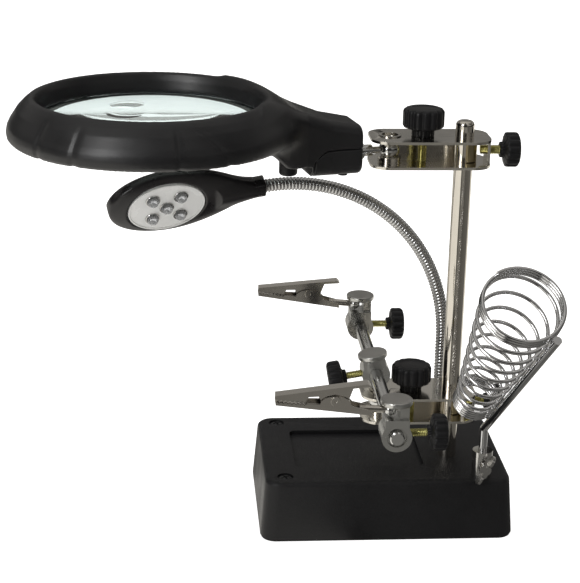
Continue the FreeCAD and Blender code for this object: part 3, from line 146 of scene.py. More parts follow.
def surface(field, low, high, step):
    """Quads on the zero level of a field of x, y, z in mm, pulled onto the level itself."""
    axes = [np.arange(a, b + step, step) for a, b in zip(low, high)]
    value = field(*np.meshgrid(*axes, indexing="ij"))
    shape = tuple(n - 1 for n in value.shape)
    total = np.zeros(shape + (3,))
    count = np.zeros(shape)
    for axis in range(3):
        others = [a for a in range(3) if a != axis]
        for da in (0, 1):
            for db in (0, 1):
                off = [0, 0, 0]
                off[others[0]] = da
                off[others[1]] = db
                near = tuple(slice(off[k], off[k] + shape[k]) for k in range(3))
                off[axis] = 1
                far = tuple(slice(off[k], off[k] + shape[k]) for k in range(3))
                v0 = value[near]
                v1 = value[far]
                crossing = (v0 < 0) != (v1 < 0)
                share = np.where(crossing, v0 / np.where(crossing, v0 - v1, 1), 0)
                for k in range(3):
                    place = share if k == axis else (0.0 if off[k] == 0 else 1.0)
                    total[..., k] += crossing * place
                count += crossing
    active = count > 0
    index = np.full(shape, -1)
    index[active] = np.arange(active.sum())
    cells = np.argwhere(active)
    points = np.array(low) + step * (cells + total[active] / count[active][:, None])
    faces = []
    inside = value < 0
    for axis in range(3):
        b, c = [(axis + 1) % 3, (axis + 2) % 3]
        core = [slice(1, -1)] * 3
        core[axis] = slice(0, -1)
        ahead = list(core)
        ahead[axis] = slice(1, None)
        here = inside[tuple(core)]
        there = inside[tuple(ahead)]
        spots = np.argwhere(here != there) + [0 if k == axis else 1 for k in range(3)]
        flips = here[here != there]
        corners = []
        for ob, oc in ((0, 0), (-1, 0), (-1, -1), (0, -1)):
            shifted = spots.copy()
            shifted[:, b] += ob
            shifted[:, c] += oc
            corners.append(index[shifted[:, 0], shifted[:, 1], shifted[:, 2]])
        quads = np.stack(corners, 1)
        quads[~flips] = quads[~flips][:, ::-1]
        faces.append(quads)
    faces = np.concatenate(faces)
    faces = faces[(faces >= 0).all(1)]
    tiny = 0.02
    for _ in range(3):
        x, y, z = points.T
        here = field(x, y, z)
        slope = np.stack(
            [
                field(x + tiny, y, z) - field(x - tiny, y, z),
                field(x, y + tiny, z) - field(x, y - tiny, z),
                field(x, y, z + tiny) - field(x, y, z - tiny),
            ],
            1,
        ) / (2 * tiny)
        size = np.maximum((slope**2).sum(1), 0.05)
        move = slope * (here / size)[:, None]
        length = np.linalg.norm(move, axis=1)
        move *= np.minimum(1, 0.5 * step / np.maximum(length, 1e-9))[:, None]
        points = points - 0.8 * move
    return points * MM, faces.tolist()


def smooth_least(a, b, reach):
    """The smaller of two fields, with the join between them rounded over the given reach."""
    h = np.clip(0.5 + 0.5 * (b - a) / reach, 0, 1)
    return b + (a - b) * h - reach * h * (1 - h)


def smooth_most(a, b, reach):
    return -smooth_least(-a, -b, reach)


def polygon_distance(x, y, corners):
    """Signed distance to a closed outline, negative inside."""
    best = np.full(x.shape, 1e9)
    sign = np.ones(x.shape)
    n = len(corners)
    for i in range(n):
        ax, ay = corners[i]
        bx, by = corners[i - 1]
        ex, ey = bx - ax, by - ay
        wx, wy = x - ax, y - ay
        t = np.clip((wx * ex + wy * ey) / (ex * ex + ey * ey), 0, 1)
        best = np.minimum(best, (wx - ex * t) ** 2 + (wy - ey * t) ** 2)
        above = y >= ay
        below = y < by
        left = ex * wy > ey * wx
        turn = (above & below & left) | (~above & ~below & ~left)
        sign = np.where(turn, -sign, sign)
    return sign * np.sqrt(best)


def rounded_box(y, z, half_y, half_z, corner):
    """Signed distance to a rectangle with rounded corners."""
    qy = np.abs(y) - half_y + corner
    qz = np.abs(z) - half_z + corner
    return np.hypot(np.maximum(qy, 0), np.maximum(qz, 0)) + np.minimum(np.maximum(qy, qz), 0) - corner


# ---- materials --------------------------------------------------------------------------------
PATCHES = 60.0  # scale of the slow changes over a surface
NOISE_LOW = 0.3  # a noise texture's values mostly lie between these two
NOISE_HIGH = 0.7
RELIEF_DEPTH = 0.0004
COAT_ROUGHNESS = 0.12


def material(
    name, colour, rough, metal=0.0, grain=1500.0, bump=0.1, vary=0.15, spread=0.08, coat=0.0,
    stretch=(1, 1, 1), shine=0.5,
):
    """A surface with fine grain in its relief, slow changes of roughness and a little colour drift."""
    made = bpy.data.materials.new(name)
    made.use_nodes = True
    nodes = made.node_tree.nodes
    links = made.node_tree.links
    shader = nodes["Principled BSDF"]
    shader.inputs["Metallic"].default_value = metal
    shader.inputs["Specular IOR Level"].default_value = shine
    shader.inputs["Coat Weight"].default_value = coat
    shader.inputs["Coat Roughness"].default_value = COAT_ROUGHNESS
    own = nodes.new("ShaderNodeTexCoord")
    mapping = nodes.new("ShaderNodeMapping")
    mapping.inputs["Scale"].default_value = stretch
    links.new(own.outputs["Object"], mapping.inputs["Vector"])
    fine = nodes.new("ShaderNodeTexNoise")
    fine.inputs["Scale"].default_value = grain
    fine.inputs["Detail"].default_value = 4.0
    links.new(mapping.outputs["Vector"], fine.inputs["Vector"])
    broad = nodes.new("ShaderNodeTexNoise")
    broad.inputs["Scale"].default_value = PATCHES
    broad.inputs["Detail"].default_value = 6.0
    links.new(own.outputs["Object"], broad.inputs["Vector"])
    ramp = nodes.new("ShaderNodeValToRGB")
    ramp.color_ramp.elements[0].position = NOISE_LOW
    ramp.color_ramp.elements[1].position = NOISE_HIGH
    ramp.color_ramp.elements[0].color = [c * (1 - vary) for c in colour] + [1]
    ramp.color_ramp.elements[1].color = [min(1, c * (1 + vary)) for c in colour] + [1]
    links.new(broad.outputs["Fac"], ramp.inputs["Fac"])
    links.new(ramp.outputs["Color"], shader.inputs["Base Color"])
    span = nodes.new("ShaderNodeMapRange")
    span.inputs["From Min"].default_value = NOISE_LOW
    span.inputs["From Max"].default_value = NOISE_HIGH
    span.inputs["To Min"].default_value = max(0.02, rough - spread)
    span.inputs["To Max"].default_value = rough + spread
    links.new(broad.outputs["Fac"], span.inputs["Value"])
    links.new(span.outputs["Result"], shader.inputs["Roughness"])
    relief = nodes.new("ShaderNodeBump")
    relief.inputs["Strength"].default_value = bump
    relief.inputs["Distance"].default_value = RELIEF_DEPTH
    links.new(fine.outputs["Fac"], relief.inputs["Height"])
    links.new(relief.outputs["Normal"], shader.inputs["Normal"])
    return made


def glass(name, colour, rough, ior, clear=1.0):
    made = material(name, colour, rough, grain=250.0, bump=0.01, vary=0.03, spread=0.01)
    shader = made.node_tree.nodes["Principled BSDF"]
    shader.inputs["Transmission Weight"].default_value = clear
    shader.inputs["IOR"].default_value = ior
    return made


LOOKS = {
    "base_plastic": material(
        "base_plastic", (0.012, 0.012, 0.013), 0.45, grain=1900, bump=0.35, shine=0.3,
    ),
    "plate_plastic": material("plate_plastic", (0.02, 0.02, 0.02), 0.55, grain=1200, bump=0.3),
    "foam_pad": material("foam_pad", (0.02, 0.02, 0.02), 0.9, grain=2600, bump=0.8),
    "dark_screw": material("dark_screw", (0.02, 0.02, 0.021), 0.5, grain=900, shine=0.3),
    "iron_weight": material("iron_weight", (0.12, 0.11, 0.1), 0.7, metal=0.6, grain=700, bump=0.6),
    "cell_wrap": material("cell_wrap", (0.05, 0.16, 0.08), 0.3, grain=300),
    "switch_plastic": material("switch_plastic", (0.015, 0.015, 0.015), 0.4, grain=1500),
    "zinc_nut": material(
        "zinc_nut", (0.72, 0.71, 0.69), 0.2, metal=1, grain=800, bump=0.04, vary=0.06,
    ),
    "nickel_post": material(
        "nickel_post", (0.78, 0.74, 0.67), 0.1, metal=1, grain=900, bump=0.02, vary=0.05,
        spread=0.03, stretch=(1, 1, 0.1),
    ),
    "nickel_sheet": material(
        "nickel_sheet", (0.76, 0.73, 0.67), 0.16, metal=1, grain=700, bump=0.05, vary=0.07,
        spread=0.05, stretch=(0.2, 1, 1),
    ),
    "brass_shoe": material("brass_shoe", (0.55, 0.47, 0.28), 0.35, metal=1, grain=900, bump=0.1),
    "knob_plastic": material(
        "knob_plastic", (0.009, 0.009, 0.01), 0.4, grain=1600, bump=0.15, shine=0.3,
    ),
    "yellow_zinc": material(
        "yellow_zinc", (0.62, 0.58, 0.22), 0.28, metal=1, grain=900, bump=0.1, vary=0.2,
    ),
    "head_plastic": material(
        "head_plastic", (0.009, 0.009, 0.01), 0.36, grain=2300, bump=0.12, shine=0.62,
    ),
    "lens_glass": glass("lens_glass", (0.86, 0.97, 0.95), 0.01, 1.5),
    "polished_steel": material(
        "polished_steel", (0.7, 0.7, 0.69), 0.14, metal=1, grain=900, bump=0.03, vary=0.06,
        spread=0.04,
    ),
    "gooseneck_steel": material(
        "gooseneck_steel", (0.6, 0.6, 0.6), 0.22, metal=1, grain=900, bump=0.04,
    ),
    "lamp_plastic": material(
        "lamp_plastic", (0.01, 0.009, 0.01), 0.3, grain=1800, bump=0.06, coat=0.06,
    ),
    "white_plate": material(
        "white_plate", (0.82, 0.82, 0.8), 0.25, grain=900, bump=0.03, vary=0.03,
    ),
    "led_resin": glass("led_resin", (0.78, 0.79, 0.8), 0.04, 1.45, 0.7),
    "cast_block": material(
        "cast_block", (0.62, 0.62, 0.6), 0.3, metal=1, grain=1100, bump=0.25, vary=0.1,
    ),
    "clip_steel": material(
        "clip_steel", (0.66, 0.63, 0.58), 0.16, metal=1, grain=900, bump=0.05, vary=0.08,
        spread=0.05, stretch=(0.2, 1, 1),
    ),
    "coil_steel": material(
        "coil_steel", (0.78, 0.78, 0.79), 0.1, metal=1, grain=900, bump=0.03, vary=0.05,
        spread=0.04,
    ),
}
DISC = material("disc_face", (0.42, 0.41, 0.39), 0.5, metal=0.85, grain=1400, bump=0.35, vary=0.15)

for entry in frame["record"]["subparts"]:
    node = NODES[entry["node"]]
    node.data.materials.clear()
    node.data.materials.append(LOOKS[entry["material_slot"]])


SAME_POINT = 2e-6
FLAT_ANGLE = 1.0  # faces that meet at less than this become one
SHARP_ANGLE = 35.0
SOFTENED_ANGLE = 28.0  # edges sharper than this are rounded
UPWARD = 0.9


def edged(node, width, disc=None):
    """The node's own shape with its edges softened, in place of the node.

    With disc, faces within that depth of the top take the look of a plain disc.
    """
    source = NODES[node]
    mesh = source.data.copy()
    work = bmesh.new()
    work.from_mesh(mesh)
    bmesh.ops.remove_doubles(work, verts=work.verts, dist=SAME_POINT)
    flat = math.radians(FLAT_ANGLE)
    bmesh.ops.dissolve_limit(work, angle_limit=flat, verts=work.verts, edges=work.edges)
    bmesh.ops.recalc_face_normals(work, faces=work.faces)
    work.to_mesh(mesh)
    work.free()
    if mesh.has_custom_normals:
        mesh.normals_split_custom_set([(0, 0, 0)] * len(mesh.loops))
    mesh.shade_smooth()
    mesh.set_sharp_from_angle(angle=math.radians(SHARP_ANGLE))
    piece = bpy.data.objects.new(node + "_edged", mesh)
    bpy.context.scene.collection.objects.link(piece)
    mod = piece.modifiers.new("edges", "BEVEL")
    mod.width = width * MM
    mod.segments = 2
    mod.limit_method = "ANGLE"
    mod.angle_limit = math.radians(SOFTENED_ANGLE)
    mod.use_clamp_overlap = True
    mod.harden_normals = True
    if disc:
        mesh.materials.append(DISC)
        top = max(v.co.z for v in mesh.vertices)
        for face in mesh.polygons:
            if face.normal.z > UPWARD and top - face.center.z < disc:
                face.material_index = 1
    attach(piece, BODY[node])
    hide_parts(node)
    return piece


# ---- magnifier head -----------------------------------------------------------------------------
ball_at = middle("magnifier_ball")
lens_at = middle("magnifier_lens")
reach_way = lens_at - ball_at
reach_way.z = 0
LENS_REACH = reach_way.length / MM
HEAD = Matrix.Translation(ball_at) @ basis(reach_way, Vector((0, 0, 1)))

# Outlines of the ring and of the hollow inside it: distance from the lens's axis, height.
RING_OUTLINE = [
    (49.0, 10.0), (53.2, 9.95), (56.2, 10.2), (57.5, 11.6), (57.8, 13.6), (57.3, 16.2), (56.3, 18.2),
    (53.4, 22.6), (50.8, 25.3), (48.7, 27.0), (47.3, 27.5), (46.0, 27.0), (44.8, 24.4), (44.0, 20.5),
    (44.0, 18.9), (45.2, 18.9), (45.2, 14.4), (49.0, 14.4),
]
BOWL_OUTLINE = [
    (-99, -12), (49.0, -12), (49.0, 14.4), (45.2, 14.4), (45.2, 18.9), (44.0, 18.9), (44.0, 20.5),
    (44.8, 24.4), (46.0, 27.0), (47.2, 28.2), (56.0, 36.0), (-99, 36.0),
]
# The handle's half width, top and underside at distances from the ball.
NECK_KEYS = np.array([15.5, 29.6, 40.8, 50.0, 58.0, 68.0])
NECK_HALF = np.array([12.0, 13.2, 16.2, 21.0, 27.0, 35.0])
NECK_TOP = np.array([13.2, 15.9, 19.9, 23.4, 25.7, 26.4])
NECK_LOW = np.array([-7.4, -7.3, -6.6, -1.4, 6.0, 9.8])
# Moulded creases in the ring's side: angles of the upper and lower ends, and how they curve.
CREASES = ((-151, -151, 1.0), (-132, -133, 1.0), (-91, -91, 1.0), (-89, -69, 0.55))
CREASE_TOP = 27.0
CREASE_DROP = 17.0
CREASE_DEPTH = 0.42
CREASE_WIDE = 2.0
CREASE_NARROW = 0.8
NECK_ROUND = 4.8
NECK_TAIL = 62.0  # where the handle ends inside the ring
STUD_BORE = 2.9
STUD_DEPTH = 30.0
RECESS_TOP = -1.8  # underside of the handle over the latch knob
RECESS_START = 38.7
RECESS_END = 50.6
COVER_END = 37.4
COVER_TOP = 3.8
COVER_BEND = 30.0  # from here the cover's upper edge curves down
COVER_SEAM = 0.12  # half the gap between the handle and its cover


def cover_line(x):
    """Height of the joint between the handle and its cover, which curves down at the ring's end."""
    return COVER_TOP - 0.075 * np.clip(x - COVER_BEND, 0, 8) ** 2


def crease_depth(x, y, z, r):
    """How deep the creases cut into the ring's side."""
    angle = np.degrees(np.arctan2(y, LENS_REACH - x))
    height = np.clip((CREASE_TOP - z) / CREASE_DROP, 0, 1)
    fade = np.clip((CREASE_TOP - z) / 4.0, 0, 1) * np.clip((r - 50) / 3, 0, 1)
    depth = 0
    for upper, lower, bend in CREASES:
        for side in (-1, 1):
            line = side * (upper + (lower - upper) * height**bend)
            off = (angle - line) * r * math.pi / 180
            wide = np.where(off * side > 0, CREASE_WIDE, CREASE_NARROW)
            depth = depth + CREASE_DEPTH * fade * np.exp(-((off / wide) ** 2))
    return depth


def head_whole(x, y, z):
    """Ring and handle in one, with x from the ball to the lens and z up, in mm."""
    r = np.hypot(x - LENS_REACH, y)
    ring = polygon_distance(r, z, RING_OUTLINE)
    half = np.interp(x, NECK_KEYS, NECK_HALF)
    top = np.interp(x, NECK_KEYS, NECK_TOP)
    low = np.interp(x, NECK_KEYS, NECK_LOW)
    neck = rounded_box(y, z - (top + low) / 2, half, (top - low) / 2, NECK_ROUND)
    neck = smooth_most(neck, NECK_KEYS[0] - x, 2.0)
    neck = np.maximum(neck, x - NECK_TAIL)
    whole = smooth_least(ring, neck, 7.0)
    whole = smooth_most(whole, -polygon_distance(r, z, BOWL_OUTLINE), 0.6)
    whole = whole + crease_depth(x, y, z, r)
    recess = np.maximum(z - RECESS_TOP, np.maximum(RECESS_START - x, x - RECESS_END))
    whole = smooth_most(whole, -recess, 0.8)
    bore = np.maximum(np.hypot(y, z) - STUD_BORE, x - STUD_DEPTH)
    return np.maximum(whole, -bore)


def housing_field(x, y, z):
    cover = np.maximum(z - cover_line(x) - COVER_SEAM, x - COVER_END - COVER_SEAM)
    return smooth_most(head_whole(x, y, z), -cover, 0.3)


def cover_field(x, y, z):
    cover = np.maximum(z - cover_line(x) + COVER_SEAM, x - COVER_END + COVER_SEAM)
    return smooth_most(head_whole(x, y, z), cover, 0.3)


points, faces = surface(housing_field, (13.0, -61.0, -9.5), (163.0, 61.0, 30.0), 0.85)
head = new_piece("magnifier_head", points, faces, "magnifier", LOOKS["head_plastic"], HEAD)
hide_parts("magnifier_housing")
points, faces = surface(cover_field, (13.0, -16.0, -9.5), (39.5, 16.0, 6.0), 0.6)
cover = new_piece("handle_shell", points, faces, "magnifier", LOOKS["head_plastic"], HEAD)
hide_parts("handle_cover")


# ---- lamp head ------------------------------------------------------------------------------------
lamp_at, lamp_way = joint_place("lamp_twist")
plate_points = np.array([v.co for v in NODES["lamp_plate"].data.vertices])
_, spans = np.linalg.eigh(np.cov((plate_points - plate_points.mean(0)).T))
face_way = Vector(spans[:, 0])
if face_way.y > 0:
    face_way = -face_way
LAMP = Matrix.Translation(lamp_at) @ basis(lamp_way, face_way)

LAMP_HALF = 17.0
LAMP_MIDDLE = 42.3
LAMP_TIP = 68.8
LAMP_TAPER = 38.0  # length over which the head narrows to its sleeve
LAMP_ROUND = 2.3  # how square the head's section is; 2 would be an ellipse
LAMP_EDGE = 3.4  # thickness of the head behind its rim at the sleeve
LAMP_DEEPER = 4.6  # added to that at the head's middle
SLEEVE = 4.4
SLEEVE_START = 1.0
SLEEVE_END = 20.0
SLEEVE_BORE = 3.0
PLATE_X = (LAMP.inverted() @ middle("lamp_plate")).x / MM
PLATE_LONG = 16.95  # half sizes of the recess round the pale plate
PLATE_SHORT = 13.7
PLATE_FLOOR = 1.7
SHELL_SEAM = -0.9  # height of the groove between the head's two shells


def lamp_field(x, y, z):
    """The lamp's head and sleeve, with x from the hose outwards and z out of the pale plate."""
    behind = x < LAMP_MIDDLE
    ahead = np.clip((x - LAMP_MIDDLE) / (LAMP_TIP - LAMP_MIDDLE), 0, 1)
    far = np.clip((LAMP_MIDDLE - x) / LAMP_TAPER, 0, 1)
    taper = np.clip(np.cos(far * math.pi / 2), 0, 1) ** 0.85
    half = LAMP_HALF * np.where(behind, taper, np.sqrt(1 - ahead**2))
    back = LAMP_EDGE + LAMP_DEEPER * np.clip(half / LAMP_HALF, 0, 1)
    upper = LAMP_EDGE * np.clip(half / 9.0, 0, 1) ** 0.5
    depth = np.maximum(np.where(z < 0, back, upper), 0.4)
    wide = np.maximum(half, 0.4)
    egg = (np.abs(y / wide) ** LAMP_ROUND + np.abs(z / depth) ** LAMP_ROUND) ** (1 / LAMP_ROUND) - 1
    egg = egg * np.minimum(wide, depth)
    egg = np.where((x < 5.5) | (x > LAMP_TIP), np.maximum(egg, 1.0), egg)
    sleeve = np.hypot(y, z) - (SLEEVE - 0.02 * x)
    sleeve = np.maximum(sleeve, np.maximum(SLEEVE_START - x, x - SLEEVE_END))
    whole = smooth_least(egg, sleeve, 4.0)
    rim = (np.hypot((x - PLATE_X) / PLATE_LONG, y / PLATE_SHORT) - 1) * PLATE_SHORT
    whole = smooth_most(whole, -np.maximum(rim, PLATE_FLOOR - z), 0.4)
    whole = whole + 0.22 * np.clip(1 - np.abs(z - SHELL_SEAM) / 0.25, 0, 1)
    return np.maximum(whole, -np.maximum(np.hypot(y, z) - SLEEVE_BORE, x - 7.0))


points, faces = surface(lamp_field, (0.0, -18.5, -9.5), (70.5, 18.5, 5.0), 0.5)
lamp = new_piece("lamp_head", points, faces, "lamp", LOOKS["lamp_plastic"], LAMP)
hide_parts("lamp_housing")


def plate_rim():
    """A raised bead round the pale plate."""
    long_way, short_way, height = 16.2, 12.95, 2.95
    bead_wide, bead_high = 0.42, 0.35
    count, around = 96, 8
    points = []
    for i in range(count):
        a = 2 * math.pi * i / count
        for j in range(around):
            b = 2 * math.pi * j / around
            grow = bead_wide * math.cos(b)
            points.append((
                (PLATE_X + (long_way + grow) * math.cos(a)) * MM,
                (short_way + grow) * math.sin(a) * MM,
                (height + bead_high * math.sin(b)) * MM,
            ))
    faces = ring_faces(count, around)
    piece = new_piece("plate_rim", points, faces, "lamp", LOOKS["white_plate"], LAMP)


# Outlines of each bulb's collar and of the bright cup in its dome: radius, height.
BULB_RINGS = {
    "collar": [(2.7, 2.86), (3.2, 2.86), (3.2, 3.25), (3.0, 3.5), (2.75, 3.5), (2.7, 3.3)],
    "cup": [
        (0.25, 3.2), (0.55, 3.3), (1.5, 4.5), (1.7, 4.5), (1.7, 4.2), (0.9, 2.9), (0.25, 2.9),
    ],
}
BULB_SEGMENTS = {"collar": 48, "cup": 32}
BULB_PLACES = [(0, 0)] + [(sx * 6.0, sy * 5.5) for sx in (-1, 1) for sy in (-1, 1)]


def bulbs():
    """Each bulb has a pale metal collar on the plate and a bright cup inside its clear dome."""
    for number, (dx, dy) in enumerate(BULB_PLACES):
        spot = LAMP @ Matrix.Translation(((PLATE_X + dx) * MM, dy * MM, 0))
        for kind, outline in BULB_RINGS.items():
            points, faces = ring_solid(outline, BULB_SEGMENTS[kind])
            name = "bulb_%s_%d" % (kind, number)
            piece = new_piece(name, points, faces, "lamp", LOOKS["polished_steel"], spot, 40)


plate_rim()
bulbs()


# ---- turned parts: knobs, screws, posts ----------------------------------------------------------
def turned_rows(rows, segments, flutes=0):
    """A closed solid from (height, radius, groove depth) rows; the grooves run up its side."""
    angle = np.arange(segments) * 2 * math.pi / segments
    groove = (0.5 + 0.5 * np.cos(flutes * angle)) ** 2.2 if flutes else np.zeros(segments)
    points = []
    for h, r, depth in rows:
        reach = r - depth * groove
        heights = [h * MM] * segments
        points += list(zip(reach * np.cos(angle) * MM, reach * np.sin(angle) * MM, heights))
    return points, stacked_faces(len(rows), segments)


def threaded(radius, pitch, depth, start, end, segments):
    """A helical thread: the radius follows a sawtooth that climbs with the angle."""
    steps = int((end - start) / (pitch / 6))
    heights = np.linspace(start, end, steps)

    def reach(angle, h):
        phase = (h / pitch - angle / (2 * math.pi)) % 1.0
        fade = np.clip((end - h) / 0.5, 0, 1)
        return radius - depth * fade * (1 - np.abs(2 * phase - 1)) - 0.25 * (1 - fade)

    return spun(reach, heights, segments)


def knob_rows(radius, thick, neck, neck_high, groove):
    """Finned neck, then a grooved skirt with a rounded rim and a shallow dish in its top."""
    rows = [(0.0, neck - 0.3, 0.0), (0.3, neck, 0.35)]
    rows += [(neck_high - 0.9, neck, 0.45), (neck_high - 0.5, neck + 0.5, 0.3)]
    low = neck_high
    high = neck_high + thick
    rows += [
        (low, radius - 1.1, 0.0),
        (low + 0.1, radius - 0.7, groove * 0.6),
        (low + 0.5, radius - 0.15, groove),
        (low + 1.1, radius, groove),
        (high - 1.5, radius, groove),
        (high - 0.8, radius - 0.25, groove),
        (high - 0.3, radius - 0.8, groove * 0.7),
        (high, radius - 1.7, 0.0),
        (high, radius - 2.4, 0.0),
        (high - 0.35, radius - 2.9, 0.0),
        (high - 0.4, radius * 0.4, 0.0),
        (high - 0.35, 0.4, 0.0),
    ]
    return rows


def place(origin, direction):
    return Matrix.Translation(origin) @ along_z(direction)


def underside(node):
    """The middle of a node's lower face, and its height in mm."""
    low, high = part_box(node)
    foot = Vector(((low.x + high.x) / 2, (low.y + high.y) / 2, low.z))
    return foot, (high.z - low.z) / MM


FLUTES = 14
KNOB_SEGMENTS = 12 * FLUTES
UP = (0, 0, 1)


def clamp_knob(side):
    """The knob over a bracket, with its screw's thread and the collar at the screw's foot."""
    node = side + "_clamp_knob"
    body = BODY[node]
    foot, _ = underside(node)
    points, faces = turned_rows(knob_rows(8.8, 8.2, 4.8, 3.6, 0.75), KNOB_SEGMENTS, FLUTES)
    grip = new_piece(node + "_grip", points, faces, body, LOOKS["knob_plastic"], place(foot, UP), 50)
    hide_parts(node)
    screw = side + "_clamp_screw"
    body = BODY[screw]
    foot, length = underside(screw)
    zinc = LOOKS["yellow_zinc"]
    points, faces = threaded(2.0, 0.8, 0.32, 1.9, length - 0.1, 40)
    shank = new_piece(screw + "_thread", points, faces, body, zinc, place(foot, UP), 60)
    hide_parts(screw)
    rows = [(0.0, 2.4, 0), (0.25, 3.0, 0), (0.7, 3.2, 0), (1.6, 3.2, 0), (1.93, 2.9, 0)]
    points, faces = turned_rows(rows, 48)
    collar = new_piece(screw + "_collar", points, faces, body, zinc, place(foot, UP), 40)


THUMB_NECK_HIGH = 2.2
THUMB_THICK = 6.0


def thumb_screw(node, joint, tip, knob_at, thread_radius, neck):
    """A grooved knob on a zinc thread; distances run along the screw from its joint's place."""
    origin, way = joint_place(joint)
    rows = knob_rows(7.5, THUMB_THICK, neck, THUMB_NECK_HIGH, 0.65)
    points, faces = turned_rows(rows, KNOB_SEGMENTS, FLUTES)
    grip = new_piece(
        node + "_grip", points, faces, BODY[node], LOOKS["knob_plastic"],
        place(origin + way * (knob_at - THUMB_NECK_HIGH) * MM, way), 50,
    )
    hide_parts(node)
    zinc = LOOKS["yellow_zinc"]
    points, faces = threaded(thread_radius, 0.7, 0.26, tip, knob_at, 32)
    shank = new_piece(node + "_thread", points, faces, BODY[node], zinc, place(origin, way), 60)


for side in ("upper", "lower"):
    clamp_knob(side)
    origin, _ = joint_place(side + "_lock_turn")
    low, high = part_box(side + "_lock_screw")
    tip = (low.x - origin.x) / MM
    knob_at = (high.x - origin.x) / MM - THUMB_THICK
    thumb_screw(side + "_lock_screw", side + "_lock_turn", tip, knob_at, 2.0, 3.4)
for side in ("front", "back", "middle"):
    thumb_screw(side + "_lock_screw", side + "_lock_turn", 3.3, 15.0, 1.7, 3.0)


# ---- gooseneck hose --------------------------------------------------------------------------------
NECK_BASE, _ = joint_place("gooseneck_turn")
TURNS = [joint_place("gooseneck_bend_%d" % n)[0] for n in range(1, 5)] + [lamp_at]


HOSE_STEP = 0.0002  # between the points along the hose's middle
HOSE_SWEEP = 96.0  # the bent part's angle
HOSE_LENGTHS = 4
HOSE_INSIDE = 0.00226  # radius between the windings
HOSE_RIB = 0.00064  # how far the windings stand out of that
HOSE_PITCH = 0.00155
HOSE_IN_SLEEVE = 0.0011
HOSE_SEGMENTS = 20


def hose_line():
    """Centre points of the hose from its socket to the lamp, and the sizes of its two stretches."""
    start = Vector((TURNS[0].x, TURNS[0].y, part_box("gooseneck_1")[0].z))
    out = TURNS[-1] - TURNS[0]
    out.z = 0
    out.normalize()
    rise = TURNS[1].z - TURNS[0].z
    along = (TURNS[1] - TURNS[0]).dot(out)
    radius = (rise * rise + along * along) / (2 * along)
    points = []
    straight = (TURNS[0] - start).length
    for s in np.arange(0, straight, HOSE_STEP):
        points.append(start + Vector((0, 0, s)))
    for s in np.arange(0, radius * math.radians(HOSE_SWEEP) + HOSE_IN_SLEEVE, HOSE_STEP):
        a = s / radius
        over = out * radius * (1 - math.cos(a))
        points.append(TURNS[0] + over + Vector((0, 0, radius * math.sin(a))))
    return points, straight, radius, out


def hose():
    """A flexible hose of close round windings, cut into lengths; only the two end lengths ride on a body."""
    points, straight, radius, out = hose_line()
    arc = radius * math.radians(HOSE_SWEEP / HOSE_LENGTHS)
    cuts = [0.0, straight - 0.012]
    for n in range(HOSE_LENGTHS):
        cuts.append(straight + arc * (n + 0.5))
    cuts.append(len(points) * HOSE_STEP)
    across = Vector((0, 0, 1)).cross(out)
    final = len(cuts) - 2
    for n in range(len(cuts) - 1):
        first = int(cuts[n] / HOSE_STEP)
        last = min(len(points) - 1, int(cuts[n + 1] / HOSE_STEP))
        rows = []
        for i in range(first, last + 1):
            s = i * HOSE_STEP
            way = (points[min(i + 1, len(points) - 1)] - points[max(i - 1, 0)]).normalized()
            other = way.cross(across).normalized()
            for j in range(HOSE_SEGMENTS):
                a = 2 * math.pi * j / HOSE_SEGMENTS
                wave = abs(math.sin(math.pi * (s / HOSE_PITCH - j / HOSE_SEGMENTS)))
                r = HOSE_INSIDE + HOSE_RIB * wave**0.6
                rows.append(points[i] + (across * math.cos(a) + other * math.sin(a)) * r)
        faces = stacked_faces(last - first + 1, HOSE_SEGMENTS)
        bends = 0 < n < final
        body = None if bends else "neck_1" if n == 0 else "neck_5"
        piece = new_piece("hose_%d" % (n + 1), rows, faces, body, LOOKS["gooseneck_steel"])
        if bends:
            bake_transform(piece)
        if n < final:
            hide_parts("gooseneck_%d" % (n + 1))


hose()


# ---- softened edges on the CAD's own shapes ------------------------------------------------------
DISC_DEPTH = 0.003
CLIP_SHEETS = [
    side + "_clip_" + part for side in ("front", "back") for part in ("lower_jaw", "upper_jaw")
]
# How far each group of nodes has its edges rounded, in mm.
EDGES = (
    (0.35, ["base_shell"]),
    (0.22, ["upper_bracket", "lower_bracket"]),
    (0.25, ["upper_shoe", "lower_shoe"]),
    (0.35, ["front_block", "back_block", "middle_block"]),
    (0.3, ["gooseneck_socket", "iron_socket"]),
    (0.25, ["iron_wing_screw"]),
    (0.4, ["latch_knob"]),
    (0.1, CLIP_SHEETS + ["front_clip_rivet", "back_clip_rivet"]),
    (0.3, ["lens_retainer"]),
    (0.12, ["base_screws", "switch_slider"]),
)
for width, names in EDGES:
    for node in names:
        edged(node, width, disc=DISC_DEPTH if node.endswith("_block") else None)


# ---- camera, light and floor --------------------------------------------------------------------
CAMERA_PLACE = (-0.0964106, -0.6661420, 0.3331538)
CAMERA_YAW = 0.0807493
CAMERA_PITCH = 0.3319472
CAMERA_ROLL = 0.0216042
SENSOR_WIDTH = 36.0
FOCAL_LENGTH = 99.316986


